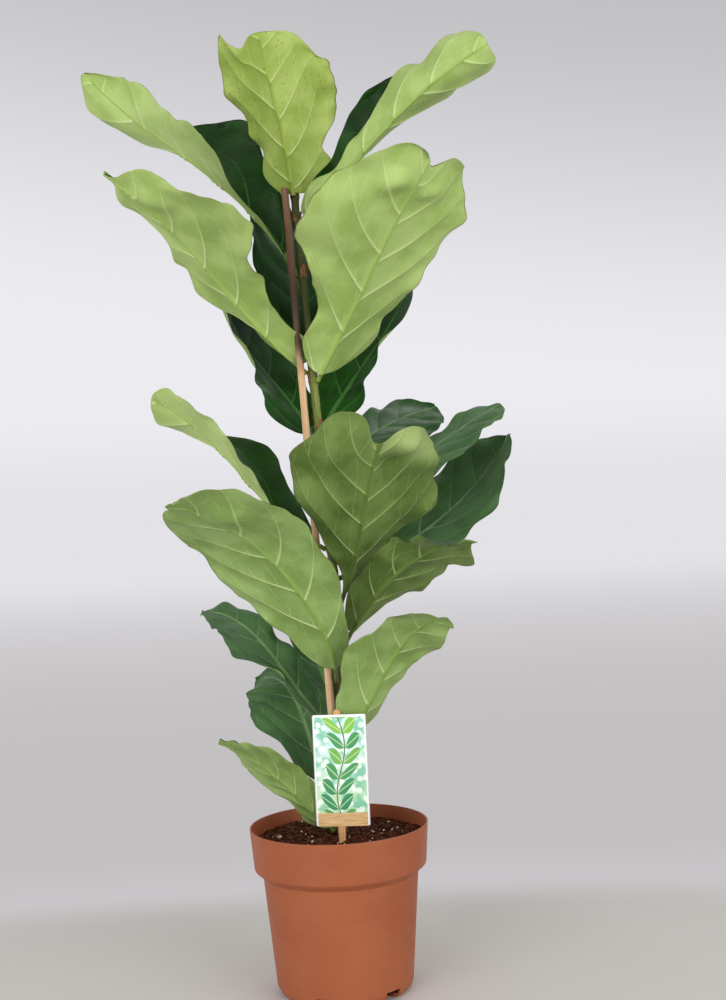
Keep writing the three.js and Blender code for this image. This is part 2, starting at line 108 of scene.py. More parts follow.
LEAVES = (
    leaf("leaf_01_low_left", 164, 10, 145, (-170, -165, -170), (45, 55, 25), (35, 50, 15),
         (5, 10, 0), (5, 5), (15, 25, 30, 35, 35), (25, 20, 30, 45, 30),
         wave=1, ripple=0.015, tip=((0, 12, 6),)),
    leaf("leaf_02_low_back", 202, 20, 180, (145, 90, 145), (50, 85, -25), (-5, -15, -25),
         (10, 5, -5), (5, 10), (20, 35, 55, 50, 40), (20, 20, 35, 45, 35), upper="dusty"),
    leaf("leaf_03_left", 274, 15, 205, (155, 135, 145), (40, 70, -5), (5, -20, -20),
         (15, 10, 5), (10, -5), (20, 15, 45, 45, 25), (20, 25, 25, 25, 25),
         upper="dusty", wave=4),
    leaf("leaf_04_right_front", 258, 15, 225, (-30, -60, -55), (45, 75, -10), (-20, -30, -25),
         (15, 0, -15), (0, 0), (15, 20, 25, 35, 20), (20, 40, 50, 35, 40), tip=((0, 11, -13),)),
    leaf("leaf_05_back", 302, 20, 150, (115, 110, 100), (50, 35, 20), (0, 10, 20),
         (10, 5, 0), (10, 5), (20, 20, 30, 40, 30), (20, 20, 30, 40, 30)),
    leaf("leaf_06_left_front", 324, 25, 300, (-85, -155, -135), (45, 60, 10), (15, 25, 10),
         (5, 0, 0), (10, 5), (15, 30, 50, 65, 70), (20, 45, 70, 75, 50),
         tip=((-4, 10, -6), (26, 13, -13)), lobes=((1, 0.84, 0.09, 8),),
         dents=((0.82, -0.3, 22, 11), (0.55, -0.5, 30, -4))),
    leaf("leaf_07_right_wavy", 358, 25, 215, (-30, -55, -50), (60, 30, 0), (-35, -50, 5),
         (30, 15, -15), (10, 10), (10, 35, 50, 50, 25), (15, 30, 30, 40, 40),
         under="olive", wave=5, ripple=0.07, tip=((0, 13, -18),)),
    leaf("leaf_08_front", 404, 20, 235, (-55, -90, -70), (55, 50, 30), (10, 0, -10),
         (0, 0, 25), (10, 5), (30, 45, 80, 75, 65), (5, 30, 60, 80, 70),
         under="olive", wave=4, ripple=0.03,
         tip=((3, 12, -22), (36, 22, 8), (68, 16, -16), (-64, 14, -12)),
         dents=((0.9, -0.5, 20, 15), (0.74, -0.3, 14, -7), (0.8, 0.5, 26, 7)),
         # the paler tints on the right lobe are painted light on its sunlit crest
         tints=((0.92, -0.55, 26, 0.85), (0.78, -0.85, 16, 0.6))),
    leaf("leaf_09_right_back", 434, 30, 245, (20, 35, 30), (20, 25, 55), (20, 20, -10),
         (0, -10, 25), (15, -5), (25, 30, 50, 60, 55), (25, 45, 65, 60, 50), upper="dusty"),
    leaf("leaf_10_right_pointed", 468, 30, 235, (35, 30, 15), (45, 35, 25), (5, 5, 10),
         (10, -15, 0), (5, 0), (20, 25, 40, 40, 35), (20, 40, 55, 55, 40), upper="dusty"),
    leaf("leaf_11_left_trough", 466, 20, 230, (-185, -180, -180), (30, 75, 25), (-10, -10, 60),
         (30, 10, -25), (0, 80), (20, 25, 45, 50, 40), (15, 35, 65, 70, 60),
         under="young", upper="deep", tints=((0.6, 0.3, 80, 0.35),)),
    leaf("leaf_12_back_right", 530, 30, 210, (80, 40, 40), (35, 25, 10), (0, 10, 25),
         (10, -5, -10), (10, 0), (20, 25, 45, 45, 50), (25, 30, 45, 50, 40)),
    leaf("leaf_13_left_dark", 584, 10, 230, (135, 150, 150), (55, 30, 80), (-15, 5, 10),
         (5, 20, 20), (10, 15), (40, 45, 35, 60, 50), (25, 30, 55, 65, 50), upper="deep"),
    leaf("leaf_14_right_dark", 596, 10, 235, (45, 35, 25), (50, 40, 70), (20, 10, -10),
         (5, 20, 15), (15, 5), (25, 35, 45, 60, 45), (30, 25, 15, 55, 40), upper="deep"),
    leaf("leaf_15_right_large", 646, 10, 285, (-45, -70, -55), (50, 35, 35), (-15, 10, -5),
         (25, -15, 15), (5, 10), (40, 55, 65, 80, 75), (25, 35, 65, 100, 75),
         under="young", wave=4, ripple=0.04, tip=((-10, 12, -15), (24, 20, 8)),
         dents=((0.87, 0.32, 15, 10), (0.86, -0.36, 14, 8), (0.5, 0.55, 24, -4))),
    leaf("leaf_16_left_front", 655, 20, 270, (-180, -105, -150), (45, 45, 30), (45, -25, 5),
         (45, -25, 15), (0, 15), (15, 35, 60, 105, 70), (20, 40, 50, 30, 60),
         under="young", upper="deep", wave=4, ripple=0.05, ears=(32, 12), tip=((2, 5, 12),),
         lobes=((-1, 0.05, 0.05, 14),), dents=((0.86, -0.3, 16, 7), (0.6, -0.5, 22, -5)),
         tints=((0.03, -0.9, 9, -0.7),)),
    leaf("leaf_17_back", 676, 15, 220, (90, 130, 135), (70, 50, 70), (-5, -5, 30),
         (10, 0, 5), (5, 5), (35, 50, 55, 55, 40), (30, 35, 35, 40, 45), upper="deep"),
    leaf("leaf_18_top_left", 758, 30, 285, (-180, -185, -180), (70, 20, 50), (-30, -15, 80),
         (25, 20, -20), (0, 105), (20, 20, 70, 45, 40), (20, 55, 100, 95, 60),
         under="young", upper="deep", ripple=0.05, tip=((3, 9, 8), (-28, 14, -14)),
         tints=((0.6, 0.3, 70, 0.25),)),
    leaf("leaf_19_top_right", 816, 10, 270, (-40, -50, -25), (30, 35, 20), (-5, -30, -80),
         (30, 70, 0), (115, 65), (25, 40, 90, 85, 55), (20, 15, 40, 60, 50),
         under="young", upper="deep", wave=4, ripple=0.06, tip=((-40, 16, 8),),
         lobes=((-1, 0.6, 0.08, 18),)),
    leaf("leaf_20_top_front", 845, 5, 165, (-100, -120, -105), (75, 50, 65), (0, -5, 5),
         (10, 10, 0), (10, 10), (35, 40, 60, 70, 70), (25, 35, 45, 55, 55),
         under="freckled", pairs=4, ripple=0.03,
         tip=((24, 9, -11), (46, 7, 26), (-68, 20, -34)), lobes=((-1, 0.85, 0.12, -10),)),
)

# ---- small helpers ----------------------------------------------------------------------------


def bend(values, t):
    """(1 - t)^2 of the first value, 2t(1 - t) of the second and t^2 of the third."""
    start, middle, end = values
    return (1 - t) ** 2 * start + 2 * t * (1 - t) * middle + t * t * end


def smoothstep(low, high, x):
    """0 below low, 1 above high, and 3s^2 - 2s^3 over the way between them."""
    s = np.clip((x - low) / (high - low), 0, 1)
    return s * s * (3 - 2 * s)


def hermite(knots, values, x):
    """A smooth line through the values at the knots. Its slope at a knot is the blend of the
    slopes of the two stretches beside it, each weighted by the length of the other; at the first
    knot it is the first stretch's, and at the last one 0."""
    knots = np.asarray(knots, float)
    values = np.asarray(values, float)
    steps = np.diff(knots)
    rates = np.diff(values) / steps
    slopes = np.empty_like(values)
    slopes[0], slopes[-1] = rates[0], 0
    share = steps[:-1] / (steps[:-1] + steps[1:])
    slopes[1:-1] = rates[:-1] * (1 - share) + rates[1:] * share
    i = np.clip(np.searchsorted(knots, x, side="right") - 1, 0, len(steps) - 1)
    h = steps[i]
    s = np.clip((x - knots[i]) / h, 0, 1)
    return (
        (2 * s**3 - 3 * s**2 + 1) * values[i] + (s**3 - 2 * s**2 + s) * h * slopes[i]
        + (3 * s**2 - 2 * s**3) * values[i + 1] + (s**3 - s**2) * h * slopes[i + 1]
    )


def surface(name, points, quads, triangles, materials, looks=None, attributes=None, sharp=None):
    """A mesh object at the origin from points in millimetres, four- and three-cornered faces, the
    material number of each face and named values at its points. Edges that turn by more than
    sharp degrees stay crisp."""
    mesh = bpy.data.meshes.new(name)
    quads = np.asarray(quads, np.int32).reshape(-1, 4)
    triangles = np.asarray(triangles, np.int32).reshape(-1, 3)
    corners = np.concatenate([quads.ravel(), triangles.ravel()])
    starts = np.concatenate([
        np.arange(len(quads)) * 4, len(quads) * 4 + np.arange(len(triangles)) * 3,
    ])
    mesh.vertices.add(len(points))
    mesh.vertices.foreach_set("co", (np.asarray(points) * MM).astype(np.float32).ravel())
    mesh.loops.add(len(corners))
    mesh.loops.foreach_set("vertex_index", corners.astype(np.int32))
    mesh.polygons.add(len(starts))
    mesh.polygons.foreach_set("loop_start", starts.astype(np.int32))
    for material in materials:
        mesh.materials.append(material)
    if looks is not None:
        mesh.polygons.foreach_set("material_index", np.asarray(looks, np.int32))
    mesh.update(calc_edges=True)
    mesh.shade_smooth()
    if sharp:
        mesh.set_sharp_from_angle(angle=math.radians(sharp))
    for key, values in (attributes or {}).items():
        layer = mesh.attributes.new(key, "FLOAT", "POINT")
        layer.data.foreach_set("value", np.asarray(values, np.float32).ravel())
    piece = bpy.data.objects.new(name, mesh)
    bpy.context.scene.collection.objects.link(piece)
    return piece


def place(piece, slot, *nodes):
    """The piece belongs to the plant and stands for those nodes. The slot is not used."""
    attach(piece, "root")
    if nodes:
        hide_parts(*nodes)
    return piece


def ring_quads(rows, columns):
    """Faces between rows of points that each close on themselves."""
    r, k = np.meshgrid(np.arange(rows - 1), np.arange(columns), indexing="ij")
    after = (k + 1) % columns
    return np.stack([
        r * columns + k, r * columns + after, (r + 1) * columns + after, (r + 1) * columns + k,
    ], -1).reshape(-1, 4)


def closed_skin(rings, first, last):
    """Points and faces of a skin over rings of points (rows, columns, 3) that turn anticlockwise
    seen from the far end, closed by a fan of triangles to one more point at each end."""
    rows, columns = rings.shape[:2]
    points = np.concatenate([rings.reshape(-1, 3), [first], [last]])
    k = np.arange(columns)
    after = (k + 1) % columns
    foot, tip = rows * columns, rows * columns + 1
    last_row = (rows - 1) * columns
    fans = np.concatenate([
        np.stack([np.full(columns, foot), after, k], -1),
        np.stack([np.full(columns, tip), last_row + k, last_row + after], -1),
    ])
    return points, ring_quads(rows, columns), fans


# ---- materials: nodes -------------------------------------------------------------------------


def colour(code):
    """An sRGB hex colour as linear red, green, blue and alpha."""
    parts = [int(code[i:i + 2], 16) / 255 for i in (1, 3, 5)]
    return [p / 12.92 if p <= 0.04045 else ((p + 0.055) / 1.055) ** 2.4 for p in parts] + [1.0]


RGBA = dict(data_type="RGBA")
SMOOTH = dict(interpolation_type="SMOOTHSTEP")
TIMES = dict(operation="MULTIPLY")
PLUS = dict(operation="ADD")
TIMES_PLUS = dict(operation="MULTIPLY_ADD")


def add_node(tree, kind, *values, named=None, out=0, **settings):
    """Adds a node with its settings, fills the sockets that it uses, in their order, and then the
    named ones with values or links, and returns one of its outputs."""
    node = tree.nodes.new("ShaderNode" + kind)
    for key, value in settings.items():
        setattr(node, key, value)
    filled = list(zip([socket for socket in node.inputs if socket.enabled], values))
    filled += [(node.inputs[key], value) for key, value in (named or {}).items()]
    for socket, value in filled:
        if isinstance(value, bpy.types.NodeSocket):
            tree.links.new(value, socket)
        else:
            socket.default_value = value
    if isinstance(out, str):
        return node.outputs[out]
    used = [socket for socket in node.outputs if socket.enabled]
    return used[out] if used else None


def new_material(name):
    """An empty material, and the function that adds a node to it."""
    material = bpy.data.materials.new(name)
    material.use_nodes = True
    material.node_tree.nodes.clear()
    return material, functools.partial(add_node, material.node_tree)


def per(size_mm):
    """The scale of a pattern in object coordinates whose lumps are that many millimetres."""
    return 1 / (size_mm * MM)


def patches(add, spot, size_mm, detail, *span):
    """Smooth random patches of that size. The span says between which low and high heights of the
    noise they rise, and then from which value to which, where that isn't from 0 to 1."""
    return add("MapRange", add("TexNoise", spot, per(size_mm), detail), *span, **SMOOTH)


def finished(material, add, base, rough, relief, depth_mm, shine=0.5, **others):
    """Ends a material with its colour, roughness and shine, a relief as deep as that, and any other
    sockets of the shader."""
    shader = add("BsdfPrincipled", named={
        "Base Color": base, "Roughness": rough, "Specular IOR Level": shine, **others,
        "Normal": add("Bump", named={"Height": relief, "Distance": depth_mm * MM}),
    })
    add("OutputMaterial", shader)
    return material


# ---- leaves -----------------------------------------------------------------------------------


def stem_centre(height):
    """The stem's centre at a height: a smooth line in X and Y through the points of its path."""
    x, y, z = np.array(STEM["path"], float).T
    height = np.asarray(height, float)
    return np.stack([hermite(z, x, height), hermite(z, y, height), height], -1)


def stem_radius(height):
    """The stem's radius at a height, even taper from foot to top."""
    low, high = STEM["path"][0][2], STEM["path"][-1][2]
    share = np.clip((np.asarray(height, float) - low) / (high - low), 0, 1)
    return STEM["foot_radius"] + (STEM["top_radius"] - STEM["foot_radius"]) * share


def leaf_line(shape, t):
    """The centre line of stalk and blade at shares t of its length, with the directions along it,
    to its right and out of its upper side. At share t the line heads round by the bend of the
    headings a and up by the bend of the rises e, along (cos e cos a, cos e sin a, sin e); the
    points are the running sum of that from the stem's side. The level direction to the right
    (sin a, -cos a, 0) and the one square to both are turned about the line by the bend of the
    twists."""
    steps = np.linspace(0, 1, LINE_STEPS + 1)
    a, e, w = (np.radians(bend(shape[key], steps)) for key in ("heading", "rise", "twist"))
    along = np.stack([np.cos(e) * np.cos(a), np.cos(e) * np.sin(a), np.sin(e)], -1)
    level = np.stack([np.sin(a), -np.cos(a), np.zeros_like(a)], -1)
    up = np.cross(level, along)
    cos_w, sin_w = np.cos(w)[:, None], np.sin(w)[:, None]
    right = level * cos_w - up * sin_w
    upper = up * cos_w + level * sin_w
    reach = stem_radius(shape["node"]) + GAP + PETIOLE * math.sin(e[0])
    start = stem_centre(shape["node"]) + reach * np.array([math.cos(a[0]), math.sin(a[0]), 0])
    total = shape["petiole"] + shape["length"]
    run = np.cumsum((along[1:] + along[:-1]) / 2, axis=0) * total / LINE_STEPS
    point = start + np.concatenate([np.zeros((1, 3)), run])
    pick = lambda table: np.stack([np.interp(t, steps, table[:, i]) for i in range(3)], -1)
    return pick(point), pick(along), pick(right), pick(upper)


def half_width(widths, u):
    """Half width of a blade at shares u of its length, rounded off at the tip by the square root
    of 1 - u^12."""
    values = [FOOT_WIDTH, *widths, widths[-1]]
    smooth = np.maximum(hermite(STATIONS, values, u), FOOT_WIDTH)
    return smooth * np.sqrt(np.clip(1 - u**TIP_POWER, 0, 1))


def ring_columns(cells):
    """Places across one ring of a leaf, from the right margin along the underside to the left
    margin and back along the upper side, closer together near the midrib; and which side each
    place is on, -1 below, 0 on the margin, 1 above."""
    s = np.linspace(1, -1, cells + 1)
    v = np.sign(s) * np.abs(s) ** CROWDING
    sides = np.concatenate([[0], -np.ones(cells - 1), [0], np.ones(cells - 1)])
    return np.concatenate([v, v[-2:0:-1]]), sides


def leaf_rows(shape):
    """Distances from the stem of a leaf's rings: every 2 mm or less along its stalk and every mesh
    step along its blade, twice as close over the first tenth of that, and ever closer over the
    last 6 %, where a share s of them has come within 0.06 (1 - s)^2.2 of the tip."""
    petiole, length = shape["petiole"], shape["length"]
    spread = lambda low, high, rows: np.linspace(low, high, int(rows), endpoint=False)
    stalk = spread(0, petiole, max(5, petiole / 2))
    foot = spread(0, 0.1, 0.1 * length / MESH_STEP * 2)
    middle = spread(0.1, 0.94, 0.84 * length / MESH_STEP)
    tip = 1 - 0.06 * (1 - spread(0, 1, 25)) ** 2.2
    return np.concatenate([stalk, petiole + np.concatenate([foot, middle, tip]) * length])


def leaf_piece(shape, number, finishes):
    """A leaf as one closed sheet.

    At share u of the blade's length and place v across it (-1 the left margin, 1 the right one),
    each half of the cross-section is an arc that starts at the fold and turns by the curl. Side
    vein k starts on the midrib at k times the step and runs outwards and forwards, so that it is
    where phase = (u length - slant x - hook x^2 / w) / step is k, apart from a random shift and
    sway, x being the distance from the midrib and w the leaf's mean half width. Along each vein
    the sheet sinks as exp(-(d / sink width)^2) of the distance d from it, and the underside has a
    rib on top of that; between two side veins the sheet rises by a random height times sin^2 of
    pi times the phase. Slow waves, growing with |v|, buckle the whole sheet, dents are hollows
    that fall off as exp(-(d / spread)^2), and the waves of the margin grow with |v|^3."""
    rng = np.random.default_rng(number)
    fewest, most = 56, 116
    cells = 2 * max(shape["left"] + shape["right"]) / MESH_STEP
    cells = int(np.clip(cells, fewest, most)) // 2 * 2
    v, side = ring_columns(cells)
    distance = leaf_rows(shape)
    petiole, length = shape["petiole"], shape["length"]
    point, along, right, upper = leaf_line(shape, distance / (petiole + length))
    u = np.clip((distance - petiole) / length, 0, 1)[:, None]
    t = (distance / (petiole + length))[:, None]
    v, side = v[None, :], side[None, :]
    edge = np.abs(v)
    half = np.where(v < 0, -1.0, 1.0)

    # outline, calm near the blade's two ends
    lively = smoothstep(0.05, 0.3, u) * smoothstep(1.0, 0.9, u)
    outline = []
    for one, widths in ((-1, shape["left"]), (1, shape["right"])):
        p = rng.uniform(0, 2 * math.pi, 3)
        swing = np.sin(2 * math.pi * 2.3 * u + p[0]) + 0.6 * np.sin(2 * math.pi * 4.7 * u + p[1])
        swing += 0.25 * np.sin(2 * math.pi * 11 * u + p[2])
        wide = half_width(widths, u) * (1 + shape["ripple"] * swing * lively)
        for where, place_u, spread_u, reach in shape["lobes"]:
            near = np.exp(-(((u - place_u) / spread_u) ** 2)) * smoothstep(0, 0.03, u)
            wide = wide + (where == one) * reach * near * smoothstep(1, 0.95, u)
        outline.append(wide)
    width = np.where(v < 0, outline[0], outline[1])
    x = edge * width

    # side veins
    mean = (sum(shape["left"]) + sum(shape["right"])) / 10
    step = length / (shape["pairs"] + 0.4)
    shift = rng.uniform(-0.15, 0.15) + np.where(v < 0, 0.12, -0.12) * np.minimum(edge * 400, 1)
    sway = 0.1 * np.sin(2 * math.pi * 1.3 * u + rng.uniform(0, 6)) * (0.4 + edge)
    phase = (u * length - VEIN["slant"] * x - VEIN["hook"] * x * x / mean) / step + shift + sway
    off = np.abs(phase - np.round(phase)) * step * VEIN["nearer"]
    strength = (1 - 0.6 * edge**2) * smoothstep(0.0, 0.05, u)
    valley = strength * np.exp(-((off / VEIN["sink_width"]) ** 2))
    bands, behind_foot = 32, 12  # more bands between side veins than any leaf has
    heights = rng.uniform(0.1, 2.2, (2, bands))
    bulge = heights[(half > 0).astype(int), np.floor(phase).astype(int) + behind_foot]
    bulge = bulge * np.sin(math.pi * phase) ** 2
    rib_width = 3.0 - 2.0 * u
    rib = x / rib_width

    # how far the sheet leaves its smooth shape
    rise = -VEIN["sink"] * valley + bulge * smoothstep(0.1, 0.6, edge) * smoothstep(0.0, 0.2, u)
    rise += -VEIN["sink"] * np.exp(-((x / VEIN["sink_width"]) ** 2)) * smoothstep(0, 0.1, u) * (1 - u)
    tint = np.zeros_like(rise)
    for values, spots, sign in ((rise, shape["dents"], -1), (tint, shape["tints"], 1)):
        for place_u, place_v, spread_mm, depth in spots:
            away = np.hypot((u - place_u) * length, (v - place_v) * width)
            values += sign * depth * np.exp(-((away / spread_mm) ** 2))
    for reach, turns, skew in ((2.4, 1.1, 2.0), (1.7, 2.1, 3.1), (0.9, 3.7, 5.2)):
        p = rng.uniform(0, 2 * math.pi, 2)
        rise += (reach * edge * smoothstep(0, 0.3, u) * np.sin(2 * math.pi * turns * u + p[0])
                 * np.sin(skew * v + p[1]))
    for one, n, share in ((-1, 3.1, 1.0), (1, 3.6, 1.0), (-1, 7.3, 0.3), (1, 6.4, 0.3)):
        wave = np.sin(2 * math.pi * n * u + rng.uniform(0, 2 * math.pi))
        rise += np.where(half == one, share * shape["wave"] * edge**3 * wave, 0) * lively
    thick = THICKNESS / 2 * np.sqrt(np.clip(1 - edge**10, 0, 1))
    under_rib = VEIN["midrib"] * (1 - 0.75 * u) * np.exp(-np.clip(rib, 0, 6) ** 2)
    side_rib = np.exp(-((off / VEIN["rib_width"]) ** 2)) * (edge < 0.93)
    under_rib += VEIN["rib"] * strength * (1 - 0.6 * edge) * side_rib
    lift = rise + np.where(side > 0, thick, np.where(side < 0, -thick - under_rib, 0))

    # the points
    fold = np.radians(bend(shape["fold"], t))
    turn = np.where(v < 0, math.radians(shape["curl"][0]), math.radians(shape["curl"][1]))
    turn = np.where(np.abs(turn) < 1e-3, 1e-3, turn)
    angle = fold + turn * edge
    out = (np.sin(angle) - np.sin(fold)) / turn * width
    up = (np.cos(fold) - np.cos(angle)) / turn * width
    lean = angle * np.minimum(edge * 25, 1)
    ear = np.where(v < 0, shape["ears"][0], shape["ears"][1])
    back = ear * np.clip(1 - u / EAR_SHARE, 0, 1) ** 2 * edge**2
    for middle, spread, forward in shape["tip"]:
        back = back - (forward * np.exp(-(((half * x - middle) / spread) ** 2))
                       * smoothstep(0.72, 1, u))
    sheet = (
        point[:, None] + right[:, None] * (half * (out - lift * np.sin(lean)))[..., None]
        + upper[:, None] * (up + lift * np.cos(lean))[..., None] - along[:, None] * back[..., None]
    )
    swell = PETIOLE * (1 + 0.25 * np.exp(-distance / 4))[:, None]
    stalk = (
        point[:, None] + right[:, None] * (swell * v)[..., None]
        + upper[:, None] * (swell * side * np.sqrt(1 - v * v))[..., None]
    )
    share = smoothstep(petiole - 2, petiole + 0.035 * length, distance)[:, None, None]
    rings = stalk * (1 - share) + sheet * share
    points, quads, fans = closed_skin(rings, point[0], rings[-1].mean(0))

    stalk_rows = int((distance < petiole).sum())
    row = np.arange(len(quads)) // v.size
    column = np.arange(len(quads)) % v.size
    looks = np.where(row < stalk_rows, 2, np.where(column < cells, 1, 0))
    looks = np.concatenate([looks, np.full(v.size, 2), np.where(np.arange(v.size) < cells, 1, 0)])
    spread = lambda values: np.append(np.broadcast_to(values, rings.shape[:2]).ravel(), [0.0, 0.0])
    attributes = {
        "phase": spread(phase), "across": spread(x), "rib": spread(rib), "edge": spread(edge),
        "tint": spread(tint), "vigour": spread(1 - 0.65 * u**1.5),
    }
    materials = [finishes["upper", shape["upper"]], finishes["under", shape["under"]],
                 finishes["stalk", shape["under"]]]
    piece = surface(shape["name"] + "_blade", points, quads, fans, materials, looks, attributes)
    return place(piece, "leaf", shape["name"])


def blade_material(
    name, lamina, shade, vein, midrib_colour, margin_colour, above, freckles=0.0, shine=0.25,
):
    """The skin of a leaf. Above it is waxy, with sunken pale veins; below it is matt and lighter,
    with raised veins, so that the eye reads which side it sees. Side veins lie where the phase is
    a whole number and fade towards the tip. Cross veins lie where the distance from the midrib,
    shifted by a random value in each band between two side veins and by slow noise, is a multiple
    of their spacing; they are strongest beside a side vein and broken in places. A net of finer
    veins fills the rest. Freckles are small brown spots in patches; a tint is a paler or browner
    spot."""
    material, add = new_material(name)
    spot = add("TexCoord", out="Object")
    tint, vigour, phase, across, rib, edge = (
        add("Attribute", out="Fac", attribute_name=key)
        for key in ("tint", "vigour", "phase", "across", "rib", "edge")
    )

    near = add("Math", phase, 0.5, operation="PINGPONG")
    wide = add("MapRange", edge, 0.0, 0.9, 1.6 / VEIN_SPACING, 0.5 / VEIN_SPACING, **SMOOTH)
    side = add("MapRange", near, add("Math", wide, 0.4, **TIMES), wide, 1.0, 0.0, **SMOOTH)
    side = add("Math", side, vigour, **TIMES)

    jump = add("TexWhiteNoise", add("Math", phase, operation="FLOOR"), noise_dimensions="1D")
    along = add("Math", across, 1 / RUNG_SPACING, jump, **TIMES_PLUS)
    along = add("Math", add("TexNoise", spot, per(26), 1.0), 0.8, along, **TIMES_PLUS)
    rung = add("Math", along, 0.5, operation="PINGPONG")
    rung = add("MapRange", rung, 0.012, 0.045, 1.0, 0.0, **SMOOTH)
    fade = add("MapRange", near, 0.04, 0.4, 1.0, 0.5, **SMOOTH)
    whole = patches(add, spot, 22, 2.0, 0.38, 0.52)
    rung = add("Math", rung, add("Math", fade, whole, **TIMES), **TIMES)

    cell = add("Math", phase, VEIN_SPACING / NET_CELL, **TIMES)
    cell = add("CombineXYZ", cell, add("Math", across, 1 / NET_CELL, **TIMES))
    net = add("TexVoronoi", cell, 1.0, feature="DISTANCE_TO_EDGE", voronoi_dimensions="2D")
    net = add("MapRange", net, 0.02, 0.12, 1.0, 0.0, **SMOOTH)

    midrib = add("MapRange", rib, 0.7, 1.3, 1.0, 0.0, **SMOOTH)
    patchy = patches(add, spot, 9, 2.0, 0.4, 0.62, 0.15, 0.9)
    margin = add("Math", add("MapRange", edge, 0.978, 0.992, **SMOOTH), patchy, **TIMES)

    fine = add("TexNoise", spot, per(4), 4.0)
    freckle = add("Math", patches(add, spot, 2.6, 1.0, 0.66, 0.71),
                  patches(add, spot, 20, 2.0, 0.46, 0.6), **TIMES)
    brown = add("Math", tint, -1.0, **TIMES)
    cloud = patches(add, spot, 38, 3.0, 0.36, 0.64)
    base = add("Mix", cloud, colour(lamina), colour(shade), **RGBA)
    for share, code in (
        (add("Math", fine, 0.08, **TIMES), shade),
        (add("Math", freckle, freckles, **TIMES), "#6B5526"),
        # paler tints: a leaf's own paler patch, or painted light on a sunlit crest
        (add("Math", tint, 0.0, operation="MAXIMUM"), vein),
        (add("Math", brown, 0.0, operation="MAXIMUM"), margin_colour),
        (add("Math", net, 0.05, **TIMES), vein),
        (add("Math", rung, 0.36, **TIMES), vein),
        (add("Math", side, 0.65 if above else 0.88, **TIMES), vein),
        (midrib, midrib_colour),
        (margin, margin_colour),
    ):
        base = add("Mix", share, base, colour(code), **RGBA)

    raised = add("Math", side, 0.6, add("Math", rung, 0.3, **TIMES), **TIMES_PLUS)
    raised = add("Math", net, 0.05, raised, **TIMES_PLUS)
    fine = add("Math", fine, 0.05, **TIMES)
    height = add("Math", raised, -1.0 if above else 1.0, fine, **TIMES_PLUS)
    low, high = (0.38, 0.55) if above else (0.52, 0.64)
    rough = patches(add, spot, 18, 3.0, 0.3, 0.7, low, high)
    return finished(material, add, base, rough, height, 0.7, shine)


def stalk_material(name, green, brown):
    """A leaf stalk: smooth young bark, green with a brown tinge and fine lines drawn out upwards."""
    material, add = new_material(name)
    spot = add("TexCoord", out="Object")
    tinge = patches(add, spot, 8, 3.0, 0.4, 0.7)
    base = add("Mix", tinge, colour(green), colour(brown), **RGBA)
    drawn = add("Mapping", spot, named={"Scale": (1, 1, 0.3)})
    return finished(material, add, base, 0.5, add("TexNoise", drawn, per(1.5), 2.0), 0.2)


def leaf_finishes():
    """Every leaf finish by side and age."""
    return {
        ("under", "young"): blade_material(
            "young_leaf_underside", "#ABC372", "#96B05B", "#D0E09C", "#9CB65C", "#74663A", False),
        ("under", "freckled"): blade_material(
            "freckled_leaf_underside", "#A8BC62", "#8FA547", "#CEDC8E", "#96AA4C", "#6B5526",
            False, freckles=0.75),
        ("under", "grown"): blade_material(
            "grown_leaf_underside", "#8FAA62", "#79944C", "#C1D490", "#82A04E", "#62582E", False),
        ("under", "olive"): blade_material(
            "olive_leaf_underside", "#738B46", "#597131", "#AEC27A", "#698039", "#6F5A30", False),
        ("upper", "deep"): blade_material(
            "deep_green_leaf_top", "#1B490D", "#113208", "#4A7A36", "#437332", "#2C3312", True,
            shine=0.17),
        ("upper", "grown"): blade_material(
            "grown_leaf_top", "#33592A", "#264A21", "#6A8F58", "#5D8549", "#33391A", True),
        ("upper", "dusty"): blade_material(
            "dusty_leaf_top", "#4E7345", "#3F6138", "#84A074", "#769664", "#3A4226", True,
            shine=0.15),
        ("stalk", "young"): stalk_material("young_leaf_stalk", "#7C9A40", "#6E7A38"),
        ("stalk", "freckled"): stalk_material("newest_leaf_stalk", "#86983C", "#6B6A30"),
        ("stalk", "grown"): stalk_material("grown_leaf_stalk", "#64803A", "#5E5A34"),
        ("stalk", "olive"): stalk_material("olive_leaf_stalk", "#66763A", "#5E5232"),
    }


# ---- pot --------------------------------------------------------------------------------------


def between(low, high, height):
    """The radius at a height on the straight side between two (radius, height) corners."""
    share = (height - low[1]) / (high[1] - low[1])
    return low[0] + (high[0] - low[0]) * share


def rounded(corners, step=8.0, bends=6):
    """A profile through (radius, height, reach) corners. Each corner becomes a short curve that
    starts and ends that reach from it: (1 - s)^2, 2s(1 - s) and s^2 of its start, the corner
    and its end. Straight runs get a point every step."""
    points = []
    flat = np.array([corner[:2] for corner in corners], float)
    for i, (_, _, reach) in enumerate(corners):
        here = flat[i]
        if points:
            gap = here - points[-1]
            extra = int(np.linalg.norm(gap) / step)
            points += [points[-1] + gap * (k / (extra + 1)) for k in range(1, extra + 1)]
        if not reach:
            points.append(here)
            continue
        before, after = flat[i - 1] - here, flat[i + 1] - here
        start = here + before / np.linalg.norm(before) * reach
        end = here + after / np.linalg.norm(after) * reach
        for s in np.linspace(0, 1, bends):
            points.append((1 - s) ** 2 * start + 2 * s * (1 - s) * here + s * s * end)
    return np.array(points)


